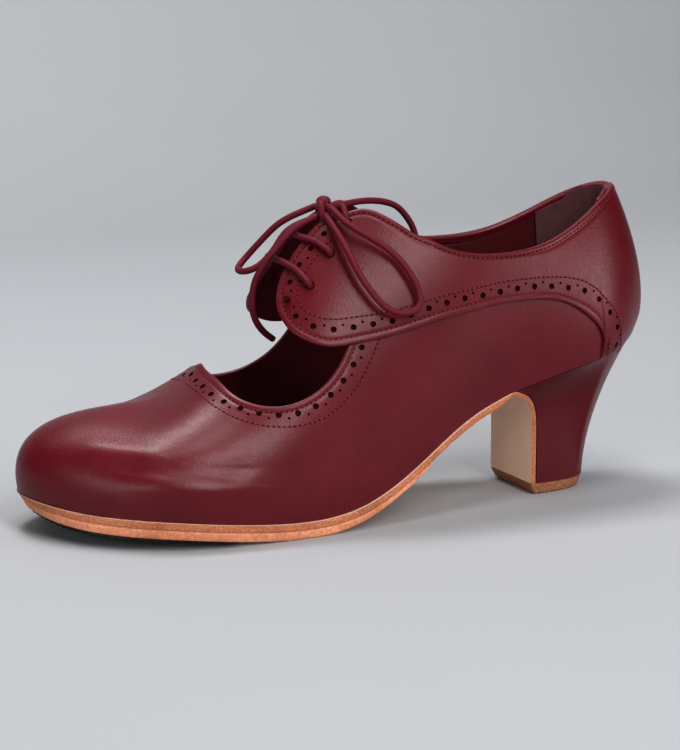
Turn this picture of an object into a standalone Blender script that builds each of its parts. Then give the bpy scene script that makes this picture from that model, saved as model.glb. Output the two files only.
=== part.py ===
"""Left flamenco shoe with a lace-up flap, a cut-out vamp and a spool heel.

The leather is drafted on a flat pattern and then laid over the last, as a shoemaker does.
Sizes are millimetres in a last frame: x from the heel towards the toe, y to the outer side, z up.
"""

import math

import bmesh
import bpy
import numpy as np

MM = 0.001
CENTRE_X = 120.94
CENTRE_Y = 2.27

WALL = 1.5
QUARTER_STEP = 1.2
FLAP_UNDER = 0.6
EYELET_RADIUS = 1.7
SEAM_GAP = 0.3

SOLE_OUT = 1.0
OUTSOLE_THICK = 2.5
LAYER_GAP = 0.1
INSOLE_IN = 2.1
INSOLE_THICK = 2.0
TOE_PLATE_THICK = 1.1
TOE_PLATE_IN = 0.4

BREAST_RING = 0.252
BREAST_FLAP_THICK = 1.8
BREAST_FLAP_GAP = 0.3
HEEL_FRONT_X = 51.4
HEEL_BACK_X = 22.6
HEEL_HALF = 15.6
HEEL_CENTRE_Y = -0.6
HEEL_TURN = math.radians(4.5)
HEEL_CURVE_BACK = 1.75
HEEL_CURVE_BREAST = 8.0
LIFT_THICK = 4.2
LIFT_TREAD = (0.88, 0.95, 1.0)

LACE_RADIUS = 1.2

# One row per section of the last, from the back of the heel to the toe tip.
# ring: place round the edge; x, outer, inner, edge: where the sole edge runs;
# ridge_x, ridge_y: where the section ends on top; lean, wall, crown: its bulge.
LAST_COLUMNS = ("ring", "x", "outer", "inner", "edge", "ridge_x", "ridge_y", "lean", "wall", "crown")
LAST_ROWS = (
    (0.000, 2.0, 0.0, 0.0, 60.6, 34.0, 0.0, 0.33, 29.0, 4.0),
    (0.070, 11.5, 15.8, -15.2, 57.4, 36.0, 0.0, 0.29, 33.0, 4.5),
    (0.155, 30.0, 27.0, -26.0, 52.7, 50.0, 0.0, 0.20, 36.0, 5.0),
    (0.245, 60.5, 28.0, -25.0, 44.3, 70.0, 0.0, 0.22, 47.0, 11.0),
    (0.375, 92.0, 32.0, -23.5, 29.7, 100.0, 0.0, 0.18, 49.0, 16.0),
    (0.500, 125.5, 36.8, -27.0, 9.0, 127.0, 0.0, 0.19, 39.0, 21.0),
    (0.615, 161.0, 41.5, -34.8, 6.3, 158.0, -0.8, 0.24, 24.5, 26.0),
    (0.735, 194.5, 40.2, -37.3, 9.7, 175.0, -2.0, 0.33, 23.5, 22.5),
    (0.865, 223.8, 24.0, -29.0, 11.7, 190.0, -2.0, 0.20, 26.0, 20.0),
    (1.000, 241.5, -4.0, -4.0, 14.6, 199.0, -2.0, 0.18, 26.5, 19.5),
)
# Height of the ridge along the top of the last: x, z.
RIDGE_ROWS = (
    (30.0, 146.0), (62.0, 147.6), (95.0, 138.0), (122.0, 115.7),
    (145.0, 92.5), (165.0, 63.2), (175.0, 54.2), (187.0, 46.6), (204.0, 43.3),
)
# Edges of the leather, alike on both sides: ring, rise (0 at the sole, 1 on the ridge).
VAMP_EDGE = (
    (0.718, 1.000), (0.708, 0.932), (0.690, 0.828), (0.662, 0.660), (0.631, 0.532),
    (0.603, 0.456), (0.578, 0.416), (0.550, 0.405), (0.530, 0.424), (0.512, 0.465),
    (0.488, 0.525), (0.460, 0.580), (0.436, 0.600),
)
COLLAR_EDGE = (
    (0.410, 0.565), (0.387, 0.506), (0.366, 0.457), (0.342, 0.417), (0.316, 0.388),
    (0.285, 0.368), (0.250, 0.359), (0.216, 0.368), (0.178, 0.400), (0.132, 0.445),
    (0.067, 0.493), (0.000, 0.507),
)
QUARTER_EDGE = (
    (0.149, -0.060), (0.149, 0.030), (0.156, 0.103), (0.172, 0.152), (0.200, 0.203),
    (0.245, 0.229), (0.298, 0.247), (0.341, 0.267), (0.382, 0.299), (0.419, 0.335),
    (0.453, 0.373), (0.510, 0.445), (0.539, 0.490), (0.566, 0.577), (0.581, 0.678),
    (0.585, 0.770), (0.579, 0.845), (0.567, 0.884), (0.545, 0.902), (0.522, 0.905),
    (0.509, 0.879), (0.491, 0.836), (0.474, 0.800), (0.458, 0.750), (0.444, 0.694),
    (0.428, 0.630),
)
EYELETS = ((0.548, 0.707), (0.519, 0.738), (0.490, 0.790))

# Whole thickness of the forefoot sole, and the bottom of its second layer: x, thickness.
SOLE_ROWS = ((98.0, 3.6), (106.0, 4.5), (118.0, 4.9), (130.0, 5.5), (142.0, 6.0), (250.0, 6.0))
HALF_SOLE_RING = 0.408
TOE_PLATE_RING = 0.665
# How far the sole is cut back under the toe, at the tread and between the layers.
TOE_TUCK = 4.2
TOE_TUCK_MIDDLE = 0.4
TOE_TUCK_RINGS = (0.85, 0.98)

# Lace bars: ring and rise of the points from the outer eyelet to the middle, alike on both sides.
BAR_ROWS = {
    "lace_bar_lower": ((0.548, 0.707), (0.553, 0.770), (0.558, 0.830), (0.562, 0.885)),
    "lace_bar_middle": ((0.519, 0.738), (0.526, 0.795), (0.533, 0.850), (0.538, 0.893)),
    "lace_bar_upper": ((0.490, 0.795), (0.489, 0.820), (0.488, 0.842)),
}
# How far the middle of the upper bar is pulled back and down, behind the knot.
BAR_DIPS = {"lace_bar_upper": (-0.8, 0.0, -5.0)}
# The bow: route points in the last frame.
KNOT_RADIUS = 2.4
BOW_ROUTES = {
    "bow_knot": ((128.6, 3.6, 104.8), (128.9, 3.0, 108.2), (129.0, 2.2, 111.4), (128.9, 1.0, 114.8)),
    "bow_loop_outer": (
        (129.2, 5.2, 111.8), (128.8, 12.4, 110.8), (127.0, 18.4, 107.6), (122.4, 23.2, 104.0),
        (116.6, 26.6, 100.1), (110.9, 29.6, 94.9), (107.0, 32.8, 88.6), (105.0, 34.2, 83.3),
        (105.1, 35.3, 79.7), (107.4, 36.0, 77.3), (112.4, 36.4, 76.7), (117.7, 35.8, 78.7),
        (122.6, 33.2, 84.3), (125.6, 30.4, 89.6), (127.8, 27.0, 95.6), (129.5, 22.6, 101.2),
        (130.7, 17.0, 105.6), (130.8, 11.2, 108.2), (130.0, 6.0, 108.9),
    ),
    "bow_loop_front": (
        (130.3, -1.6, 111.1), (136.5, -4.2, 108.3), (142.6, -7.4, 104.5), (146.2, -9.8, 100.6),
        (149.9, -12.0, 96.0), (153.2, -13.6, 91.9), (156.4, -11.8, 89.2), (157.9, -7.4, 88.1),
        (156.4, -3.2, 88.5), (152.9, -1.0, 90.3), (150.3, -0.1, 92.7), (147.2, 0.8, 96.6),
        (142.9, 1.2, 102.5), (136.5, 1.4, 105.8), (131.6, 1.4, 107.2),
    ),
    "bow_end_front": (
        (131.8, 4.6, 108.3), (136.8, 4.6, 106.3), (142.4, 4.0, 102.6), (147.2, 3.6, 97.3),
        (150.5, 3.0, 93.5), (152.8, 2.2, 89.7), (154.6, 1.0, 85.4), (155.4, 0.0, 79.8),
        (155.0, -0.8, 74.0), (153.0, -2.0, 69.4), (149.6, -3.2, 65.4), (146.2, -4.2, 62.8),
    ),
    "bow_end_inner": (
        (126.4, 0.5, 110.9), (119.3, -3.4, 111.0), (112.0, -7.0, 111.3), (105.3, -10.5, 111.0),
        (98.7, -13.5, 109.9), (93.2, -15.5, 107.8), (89.0, -16.8, 104.1), (86.2, -17.0, 100.0),
        (84.6, -16.8, 94.6), (84.0, -16.4, 88.4),
    ),
}

FLAT = 100.0
FLAT_SPREAD = 1.05


def spline_bends(knots, closed):
    """Second derivatives of a cubic spline, as a linear map of its values."""
    count = len(knots)
    step = np.diff(knots)
    if closed:
        count -= 1
    left = np.zeros((count, count))
    right = np.zeros((count, len(knots)))
    for i in range(count):
        if not closed and i in (0, count - 1):
            left[i, i] = 1.0
            continue
        before, after = step[i - 1], step[i]
        last = i - 1 if i else count - 1
        left[i, last] += before
        left[i, i] += 2 * (before + after)
        left[i, (i + 1) % count] += after
        right[i, last] += 6 / before
        right[i, i] -= 6 / before + 6 / after
        right[i, i + 1] += 6 / after
    bends = np.linalg.solve(left, right)
    return np.vstack([bends, bends[:1]]) if closed else bends


def spline_at(knots, bends, places, slope=False):
    """Weights of the knot values that give the spline, or its slope, at each place."""
    places = np.asarray(places, float)
    i = np.clip(np.searchsorted(knots, places, side="right") - 1, 0, len(knots) - 2)
    step = knots[i + 1] - knots[i]
    p = (knots[i + 1] - places) / step
    q = (places - knots[i]) / step
    rows = np.arange(len(places))
    weights = np.zeros((len(places), len(knots)))
    weights[rows, i] = -1 / step if slope else p
    weights[rows, i + 1] = 1 / step if slope else q
    low = step * (1 - 3 * p * p) / 6 if slope else step * step * (p**3 - p) / 6
    high = step * (3 * q * q - 1) / 6 if slope else step * step * (q**3 - q) / 6
    return weights + low[:, None] * bends[i] + high[:, None] * bends[i + 1]


def smooth_line(points, count):
    """Evenly spread points on a smooth curve through the given ones."""
    points = np.asarray(points, float)
    along = np.concatenate([[0.0], np.cumsum(np.linalg.norm(np.diff(points, axis=0), axis=1))])
    return spline_at(along, spline_bends(along, False), np.linspace(0, along[-1], count)) @ points


LAST = {name: np.array([row[i] for row in LAST_ROWS]) for i, name in enumerate(LAST_COLUMNS)}
ROUND = np.concatenate([LAST["ring"], 2 - LAST["ring"][-2::-1]])
ROUND_BENDS = spline_bends(ROUND, True)
RIDGE_X = np.array([row[0] for row in RIDGE_ROWS])
RIDGE_Z = np.array([row[1] for row in RIDGE_ROWS])
RIDGE_BENDS = spline_bends(RIDGE_X, False)


def section(side, ring, name):
    """One column of the last at each ring place, on the outer (1) or inner (-1) side."""
    ring = np.asarray(ring, float)
    weights = spline_at(ROUND, ROUND_BENDS, np.where(np.asarray(side) > 0, ring, 2 - ring))
    outer, inner = ("outer", "inner") if name == "y" else (name, name)
    return weights @ np.concatenate([LAST[outer], LAST[inner][-2::-1]])


def last_point(side, ring, rise):
    """Points of the vamp's outer face."""
    side = np.broadcast_to(side, np.shape(ring))
    rise = np.asarray(rise, float)[:, None]
    edge = np.stack([section(side, ring, n) for n in ("x", "y", "edge")], -1)
    ridge_x = section(side, ring, "ridge_x")
    place = np.clip(ridge_x, RIDGE_X[0], RIDGE_X[-1])
    ridge_z = spline_at(RIDGE_X, RIDGE_BENDS, place) @ RIDGE_Z
    fall = spline_at(RIDGE_X, RIDGE_BENDS, place, slope=True) @ RIDGE_Z
    top = np.stack([ridge_x, section(side, ring, "ridge_y"), ridge_z], -1)
    out = (edge - top) * [1, 1, 0]
    out /= np.linalg.norm(out, axis=1, keepdims=True)
    up = np.array([0, 0, 1.0]) + section(side, ring, "lean")[:, None] * out
    low = edge + section(side, ring, "wall")[:, None] * up
    over = out + fall[:, None] * out[:, :1] * [0, 0, 1]
    high = top + section(side, ring, "crown")[:, None] * over
    rest = 1 - rise
    return rest**3 * edge + 3 * rest**2 * rise * low + 3 * rest * rise**2 * high + rise**3 * top


def last_slopes(side, ring, rise):
    """Directions of growing ring and growing rise, away from the singular ends."""
    small = 1e-3
    ring = np.clip(ring, 0.012, 0.988)
    rise = np.clip(rise, 0.004, 0.985)
    along = last_point(side, ring + small, rise) - last_point(side, ring - small, rise)
    up = last_point(side, ring, rise + small) - last_point(side, ring, rise - small)
    return along / (2 * small), up / (2 * small)


def last_normal(side, ring, rise):
    side = np.broadcast_to(side, np.shape(ring))
    along, up = last_slopes(side, ring, rise)
    out = np.cross(up, along) * side[:, None]
    out /= np.linalg.norm(out, axis=1, keepdims=True)
    mirror = np.cross(*last_slopes(-side, ring, rise)[::-1]) * -side[:, None]
    mirror /= np.linalg.norm(mirror, axis=1, keepdims=True)
    near_ring = np.minimum(ring, 1 - np.asarray(ring))
    share = np.maximum(np.clip((rise - 0.97) / 0.03, 0, 1), np.clip((0.012 - near_ring) / 0.012, 0, 1))
    out = out + (share * 0.999)[:, None] * mirror
    return out / np.linalg.norm(out, axis=1, keepdims=True)


def over_last(side, ring, rise, lift):
    return last_point(side, ring, rise) + np.asarray(lift)[..., None] * last_normal(side, ring, rise)


def to_flat(side, ring, rise):
    """Place on the flat pattern: the sole edge is an oval and the ridge a straight line inside it."""
    spread = (1 - np.asarray(rise, float)) * FLAT_SPREAD
    turn = np.pi * np.asarray(ring, float)
    return np.stack([-np.cosh(spread) * np.cos(turn), side * np.sinh(spread) * np.sin(turn)], -1) * FLAT


def from_flat(points):
    x, y = points[:, 0] / FLAT, points[:, 1] / FLAT
    near, far = np.hypot(x - 1, y), np.hypot(x + 1, y)
    rise = 1 - np.arccosh(np.maximum((near + far) / 2, 1)) / FLAT_SPREAD
    ring = np.arccos(np.clip((near - far) / 2, -1, 1)) / np.pi
    return np.where(y >= 0, 1, -1), ring, rise


def rim_point(side, ring, out):
    """The sole edge in plan, moved outwards."""
    side = np.broadcast_to(side, np.shape(ring))
    small = 1e-3
    turn = np.where(side > 0, ring, 2 - np.asarray(ring))

    def plan(place):
        place = np.mod(place, 2)
        on = np.where(place <= 1, 1, -1)
        part = np.where(place <= 1, place, 2 - place)
        return np.stack([section(on, part, "x"), section(on, part, "y")], -1)

    ahead = plan(turn + small) - plan(turn - small)
    ahead /= np.linalg.norm(ahead, axis=1, keepdims=True)
    outward = np.stack([-ahead[:, 1], ahead[:, 0]], -1)
    return plan(turn) + np.asarray(out)[..., None] * outward


def collection(name):
    made = bpy.data.collections.new(name)
    bpy.context.scene.collection.children.link(made)
    return made


def material(name, colour, roughness, metallic=0.0):
    made = bpy.data.materials.new(name)
    made.use_nodes = True
    shader = made.node_tree.nodes["Principled BSDF"]
    shader.inputs["Base Color"].default_value = (*colour, 1.0)
    shader.inputs["Roughness"].default_value = roughness
    shader.inputs["Metallic"].default_value = metallic
    made.diffuse_color = (*colour, 1.0)
    return made


def add_part(name, mesh, look):
    """A finished part: its mesh goes from the last frame in millimetres to the row frame in metres."""
    mesh.name = name
    mesh.materials.clear()
    mesh.materials.append(look)
    for vertex in mesh.vertices:
        x, y, z = vertex.co
        vertex.co = ((x - CENTRE_X) * MM, (y - CENTRE_Y) * MM, z * MM)
    mesh.shade_smooth()
    mesh.set_sharp_from_angle(angle=math.radians(35))
    made = bpy.data.objects.new(name, mesh)
    PARTS.objects.link(made)
    return made


def mesh_of(work):
    bmesh.ops.remove_doubles(work, verts=work.verts, dist=1e-4)
    bmesh.ops.dissolve_degenerate(work, edges=work.edges, dist=1e-4)
    bmesh.ops.recalc_face_normals(work, faces=work.faces)
    mesh = bpy.data.meshes.new("work")
    work.to_mesh(mesh)
    work.free()
    return mesh


def add_helper(name, mesh):
    made = bpy.data.objects.new(name, mesh)
    made.hide_render = True
    made.display_type = "WIRE"
    HELPERS.objects.link(made)
    return made


def loft(rows, cap_start, cap_end):
    """A solid through closed rows of points; rows that shrink to a line or a point are welded."""
    work = bmesh.new()
    made = [[work.verts.new(p) for p in row] for row in rows]
    count = len(made[0])
    for one, two in zip(made, made[1:]):
        for i in range(count):
            j = (i + 1) % count
            work.faces.new((one[i], one[j], two[j], two[i]))
    if cap_start:
        work.faces.new(made[0][::-1])
    if cap_end:
        work.faces.new(made[-1])
    return mesh_of(work)


def pattern_slab(name, low, high, lowest_rise):
    """The flat pattern as a slab, cut into cells along ring and rise."""
    rounds, rises = 66, 13
    work = bmesh.new()
    bmesh.ops.create_grid(work, x_segments=rounds, y_segments=rises, size=1.0)
    co = np.array([v.co[:] for v in work.verts])
    turn = (co[:, 0] + 1) % 2.0
    rise = lowest_rise + (1 - lowest_rise) * (co[:, 1] + 1) / 2
    flat = to_flat(np.where(turn <= 1, 1, -1), np.where(turn <= 1, turn, 2 - turn), rise)
    for vertex, (x, y) in zip(work.verts, flat):
        vertex.co = (x, y, low)
    bmesh.ops.remove_doubles(work, verts=work.verts, dist=1e-3)
    bmesh.ops.recalc_face_normals(work, faces=work.faces)
    if sum(f.normal.z for f in work.faces) < 0:
        bmesh.ops.reverse_faces(work, faces=work.faces)
    mesh = bpy.data.meshes.new(name)
    work.to_mesh(mesh)
    work.free()
    made = add_helper(name, mesh)
    thick = made.modifiers.new("thickness", "SOLIDIFY")
    thick.thickness = high - low
    thick.offset = 1.0
    return made


def prism(name, outline, low, high):
    """A cutter: a flat outline given a height."""
    work = bmesh.new()
    base = work.faces.new([work.verts.new((x, y, low)) for x, y in outline])
    grown = bmesh.ops.extrude_face_region(work, geom=[base], use_keep_orig=True)
    tops = [v for v in grown["geom"] if isinstance(v, bmesh.types.BMVert)]
    bmesh.ops.translate(work, verts=tops, vec=(0, 0, high - low))
    bmesh.ops.recalc_face_normals(work, faces=work.faces)
    mesh = bpy.data.meshes.new(name)
    work.to_mesh(mesh)
    work.free()
    return add_helper(name, mesh)


def cut(target, tool, operation):
    change = target.modifiers.new(tool.name, "BOOLEAN")
    change.operation = operation
    change.object = tool
    change.solver = "EXACT"


def both_sides(rows, count):
    """A smooth edge down the outer side and back along the inner side, on the flat pattern."""
    rows = np.array(rows)
    line = smooth_line(to_flat(1, rows[:, 0], rows[:, 1]), count)
    return line, line[::-1] * [1, -1]


def eyelet_outline(side, ring, rise, radius):
    """A round hole on the last, drawn on the flat pattern."""
    where = np.array([ring]), np.array([rise])
    along, up = (v[0] for v in last_slopes(side, *where))
    first = up / np.linalg.norm(up)
    second = np.cross(last_normal(side, *where)[0], first)
    frame = np.array([[along @ first, up @ first], [along @ second, up @ second]])
    turns = np.arange(10) * 2 * np.pi / 10
    step = np.linalg.solve(frame, radius * np.stack([np.cos(turns), np.sin(turns)]))
    return to_flat(side, ring + step[0], rise + step[1])


def build_upper():
    """Vamp and lining as one wall, with the quarters and flaps as a step on top of it."""
    base = pattern_slab("vamp_pattern", -WALL, 0.0, 0.0)
    outer, inner = both_sides(VAMP_EDGE[:-1] + ((0.436, 0.600),) + COLLAR_EDGE, 110)
    lower = np.array([1.0, 0.998])
    cut(base, prism("opening", np.concatenate([outer, inner[1:-1]]) * lower, -9, 9), "DIFFERENCE")
    quarter = pattern_slab("quarter_pattern", -FLAP_UNDER, QUARTER_STEP, 0.003)
    outer, inner = both_sides(QUARTER_EDGE + COLLAR_EDGE, 150)
    round_heel = to_flat(-1, np.linspace(0.149, 0, 8), np.full(8, -0.06))[1:]
    round_heel = np.concatenate([round_heel, round_heel[-2::-1] * [1, -1]])
    outline = np.concatenate([outer, inner[1:], round_heel])
    cut(quarter, prism("quarter_outline", outline, -9, 9), "INTERSECT")
    for side in (1, -1):
        for i, (ring, rise) in enumerate(EYELETS):
            hole = eyelet_outline(side, ring, rise, EYELET_RADIUS)
            cut(quarter, prism(f"eyelet_{side}_{i}", hole, -8, 8), "DIFFERENCE")
    cut(base, quarter, "UNION")
    bpy.context.view_layer.update()
    drawn = base.evaluated_get(bpy.context.evaluated_depsgraph_get())
    mesh = bpy.data.meshes.new_from_object(drawn)
    co = np.array([v.co[:] for v in mesh.vertices])
    side, ring, rise = from_flat(co)
    laid = over_last(side, ring, np.clip(rise, 0, 1), co[:, 2])
    for vertex, place in zip(mesh.vertices, laid):
        vertex.co = place
    work = bmesh.new()
    work.from_mesh(mesh)
    return mesh_of(work)


def edge_height(ring):
    return section(np.ones(len(ring)), ring, "edge")


def whole_sole(x):
    rows = np.array(SOLE_ROWS)
    return np.interp(x, rows[:, 0], rows[:, 1])


def toe_tuck(ring):
    start, end = TOE_TUCK_RINGS
    share = np.clip((ring - start) / (end - start), 0, 1)
    return TOE_TUCK * share**2 * (3 - 2 * share)


def strap_rows(ring, out, out_low, top, bottom):
    """Four-cornered sections across the shoe, one per ring place."""
    outer, inner = rim_point(1, ring, out), rim_point(-1, ring, out)
    outer_low, inner_low = rim_point(1, ring, out_low), rim_point(-1, ring, out_low)
    return [
        ((*o, t), (*i, t), (*j, b), (*p, b))
        for o, i, j, p, t, b in zip(outer, inner, inner_low, outer_low, top, bottom)
    ]


def heel_side(side, place, down, front=HEEL_FRONT_X - BREAST_FLAP_THICK - BREAST_FLAP_GAP):
    """Points of the heel's side: place runs 0 at the breast to 1 at the back, down 0 to 1."""
    place, down = np.broadcast_arrays(np.asarray(place, float), np.asarray(down, float))
    ring = BREAST_RING * (1 - place)
    seat = rim_point(side, ring, -0.2)
    seat_z = edge_height(ring) - SEAM_GAP
    angle = place * np.pi / 2
    length = front - HEEL_BACK_X
    x = -length * np.sin(angle) ** 0.8
    y = side * HEEL_HALF * np.maximum(np.cos(angle), 0) ** 0.8
    foot = np.stack(
        [
            front + x * math.cos(HEEL_TURN) - y * math.sin(HEEL_TURN),
            HEEL_CENTRE_Y + x * math.sin(HEEL_TURN) + y * math.cos(HEEL_TURN),
        ],
        -1,
    )
    power = HEEL_CURVE_BREAST + (HEEL_CURVE_BACK - HEEL_CURVE_BREAST) * np.minimum(place * 2.0, 1)
    share = (1 - (1 - down) ** power)[:, None]
    plan = seat + (foot - seat) * share
    height = seat_z + (LIFT_THICK + LAYER_GAP - seat_z) * down
    return np.concatenate([plan, height[:, None]], 1)


def heel_levels():
    return np.array([0.0, 0.03, 0.07, 0.12, 0.18, 0.26, 0.36, 0.5, 0.72, 1.0])


def build_heel():
    """Covered heel block, from the seat to the top lift."""
    places = np.linspace(0, 1, 13)
    rows = []
    for down in heel_levels():
        outer, inner = heel_side(1, places, down), heel_side(-1, places, down)
        rows.append(np.concatenate([outer, inner[-2::-1]]))
    work = bmesh.new()
    made = [[work.verts.new(p) for p in row] for row in rows]
    count = len(made[0])
    for one, two in zip(made, made[1:]):
        for i in range(count):
            j = (i + 1) % count
            work.faces.new((one[i], one[j], two[j], two[i]))
    seat = made[0]
    for i in range(len(places) - 1):
        j = count - 1 - i
        corners = [seat[i], seat[i + 1], seat[j - 1], seat[j]]
        work.faces.new(list(dict.fromkeys(corners)))
    work.faces.new(made[-1])
    return mesh_of(work)


def build_lift():
    """Top lift, which runs forward under the breast flap; its tread is cut back all round."""
    places = np.linspace(0, 1, 13)
    outer, inner = (heel_side(side, places, 1.0, HEEL_FRONT_X) for side in (1, -1))
    ring = np.concatenate([outer, inner[-2::-1]])
    low, high = ring.mean(0) + (ring - ring.mean(0)) * LIFT_TREAD, ring.copy()
    low[:, 2] = 0.0
    high[:, 2] = LIFT_THICK
    return loft([low, high], True, True)


def breast_path():
    """Corners of the outsole's back face where it runs down the breast of the heel."""
    return heel_side(1, 0.0, heel_levels()), heel_side(-1, 0.0, heel_levels())


def build_outsole():
    """Leather outsole from the toe to the breast, then down the front of the heel."""
    ring = np.concatenate([np.linspace(0.285, 0.9, 30), np.linspace(0.925, 1, 6)])
    top = edge_height(ring) - SEAM_GAP
    out_low = SOLE_OUT - TOE_TUCK_MIDDLE * toe_tuck(ring)
    rows = strap_rows(ring, SOLE_OUT, out_low, top, top - OUTSOLE_THICK)[::-1]
    outer, inner = breast_path()
    for i in range(len(outer)):
        low, high = max(i - 1, 0), min(i + 1, len(outer) - 1)
        corners = []
        for line, side in ((outer, 1), (inner, -1)):
            ahead = line[high] - line[low]
            face = np.array([-ahead[2], 0, ahead[0]])
            face /= np.linalg.norm(face)
            face = face if face[0] > 0 else -face
            if i == 0:
                face = np.array([0.62, 0, -0.78])
            if high == i:
                face = np.array([1.0, 0, 0])
            back = line[i] + BREAST_FLAP_GAP * face
            corners.append((back, back + BREAST_FLAP_THICK * face))
        (o_back, o_front), (i_back, i_front) = corners
        rows.append((o_back, i_back, i_front, o_front))
    return loft(rows, False, True)


def build_half_sole():
    """Second layer under the forefoot, with a flat tread where it meets the floor."""
    ring = np.concatenate([np.linspace(HALF_SOLE_RING, 0.9, 26), np.linspace(0.925, 1, 6)])
    edge = edge_height(ring)
    x = section(np.ones(len(ring)), ring, "x")
    top = edge - SEAM_GAP - OUTSOLE_THICK - LAYER_GAP
    bottom = np.maximum(edge - whole_sole(x), 0.0)
    tuck = toe_tuck(ring)
    rows = strap_rows(ring, SOLE_OUT - TOE_TUCK_MIDDLE * tuck, SOLE_OUT - tuck, top, bottom)
    return loft(rows, True, False)


def build_toe_plate():
    """Dark nailed layer under the toe."""
    ring = np.concatenate([np.linspace(TOE_PLATE_RING, 0.9, 14), np.linspace(0.925, 1, 6)])
    x = section(np.ones(len(ring)), ring, "x")
    top = np.maximum(edge_height(ring) - whole_sole(x), 0.0) - 2 * LAYER_GAP
    out = SOLE_OUT - TOE_PLATE_IN - toe_tuck(ring)
    return loft(strap_rows(ring, out, out, top, top - TOE_PLATE_THICK), True, False)


def build_insole():
    ring = np.concatenate([np.linspace(0, 0.06, 4), np.linspace(0.09, 0.9, 30), np.linspace(0.925, 1, 6)])
    low = edge_height(ring) - 0.05
    return loft(strap_rows(ring, -INSOLE_IN, -INSOLE_IN, low + INSOLE_THICK, low), False, False)


def add_cord(name, route, radius, count, look):
    """A round cord along a smooth line through its route points."""
    line = smooth_line(route, count)
    curve = bpy.data.curves.new(name, "CURVE")
    curve.dimensions = "3D"
    curve.bevel_depth = radius * MM
    curve.bevel_resolution = 2
    curve.use_fill_caps = True
    spline = curve.splines.new("POLY")
    spline.points.add(count - 1)
    for point, (x, y, z) in zip(spline.points, line):
        point.co = ((x - CENTRE_X) * MM, (y - CENTRE_Y) * MM, z * MM, 1.0)
    curve.materials.append(look)
    made = bpy.data.objects.new(name, curve)
    PARTS.objects.link(made)


def bar_route(name):
    rows = np.array(BAR_ROWS[name])
    lift = np.full(len(rows), QUARTER_STEP + LACE_RADIUS + SEAM_GAP)
    outer = over_last(1, rows[:, 0], rows[:, 1], lift)
    inner = over_last(-1, rows[:, 0], rows[:, 1], lift)
    middle = (outer[-1:] + inner[-1:]) / 2 + BAR_DIPS.get(name, (0.0, 0.0, 0.0))
    return np.concatenate([outer, middle, inner[::-1]])


for old in list(bpy.data.objects):
    bpy.data.objects.remove(old, do_unlink=True)
PARTS = collection("flamenco_shoe")
HELPERS = collection("patterns")
HELPERS.hide_render = True

BURGUNDY = material("burgundy_leather", (0.10, 0.012, 0.018), 0.42)
COVER = material("heel_cover_leather", (0.085, 0.009, 0.013), 0.40)
TAN = material("sole_leather", (0.44, 0.17, 0.09), 0.65)
STACK = material("lift_leather", (0.40, 0.17, 0.085), 0.70)
INSIDE = material("insole_leather", (0.09, 0.012, 0.018), 0.55)
DARK = material("toe_plate_dark", (0.02, 0.018, 0.018), 0.45, 0.3)
LACE = material("lace_cotton", (0.07, 0.006, 0.012), 0.75)

add_part("upper", build_upper(), BURGUNDY)
add_part("insole", build_insole(), INSIDE)
add_part("outsole", build_outsole(), TAN)
add_part("half_sole", build_half_sole(), TAN)
add_part("toe_plate", build_toe_plate(), DARK)
add_part("heel_block", build_heel(), COVER)
add_part("top_lift", build_lift(), STACK)
for bar in BAR_ROWS:
    add_cord(bar, bar_route(bar), LACE_RADIUS, 15, LACE)
COUNTS = {"bow_knot": 4, "bow_loop_outer": 24, "bow_loop_front": 24, "bow_end_front": 15, "bow_end_inner": 13}
for piece, route in BOW_ROUTES.items():
    add_cord(piece, route, KNOT_RADIUS if piece == "bow_knot" else LACE_RADIUS, COUNTS[piece], LACE)
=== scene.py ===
"""Looks of a left flamenco shoe: leather over the last, brogue holes, stitches, sole, heel and laced bow.

Sizes are millimetres in the last frame, x from the heel towards the toe, y to the outer side, z up.
They go into the row frame, in metres, when a piece is finished.
"""

import math
from types import SimpleNamespace

import bmesh
import bpy
import numpy as np
from mathutils import Matrix, Vector


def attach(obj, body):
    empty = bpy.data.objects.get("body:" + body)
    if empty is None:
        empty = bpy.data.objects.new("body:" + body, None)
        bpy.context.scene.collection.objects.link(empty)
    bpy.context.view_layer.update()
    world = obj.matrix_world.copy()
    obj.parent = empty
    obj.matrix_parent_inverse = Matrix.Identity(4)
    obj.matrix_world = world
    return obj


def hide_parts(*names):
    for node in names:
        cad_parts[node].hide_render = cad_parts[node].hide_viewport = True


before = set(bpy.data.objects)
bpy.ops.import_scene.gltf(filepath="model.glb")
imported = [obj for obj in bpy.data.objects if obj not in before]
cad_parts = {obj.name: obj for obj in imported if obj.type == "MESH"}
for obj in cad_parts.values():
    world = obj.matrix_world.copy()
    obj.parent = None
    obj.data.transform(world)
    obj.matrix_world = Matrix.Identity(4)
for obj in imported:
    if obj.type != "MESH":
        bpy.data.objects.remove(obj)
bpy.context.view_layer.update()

MM = 0.001
CENTRE_X = 120.94
CENTRE_Y = 2.27

# The camera of the photograph, in the last frame.
VIEW_TARGET = (121.73, 0.0, 48.48)
VIEW_TURN = math.radians(20.99)
VIEW_RISE = math.radians(11.3)
VIEW_DISTANCE = 764.5
VIEW_LENS = 99.84

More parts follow.
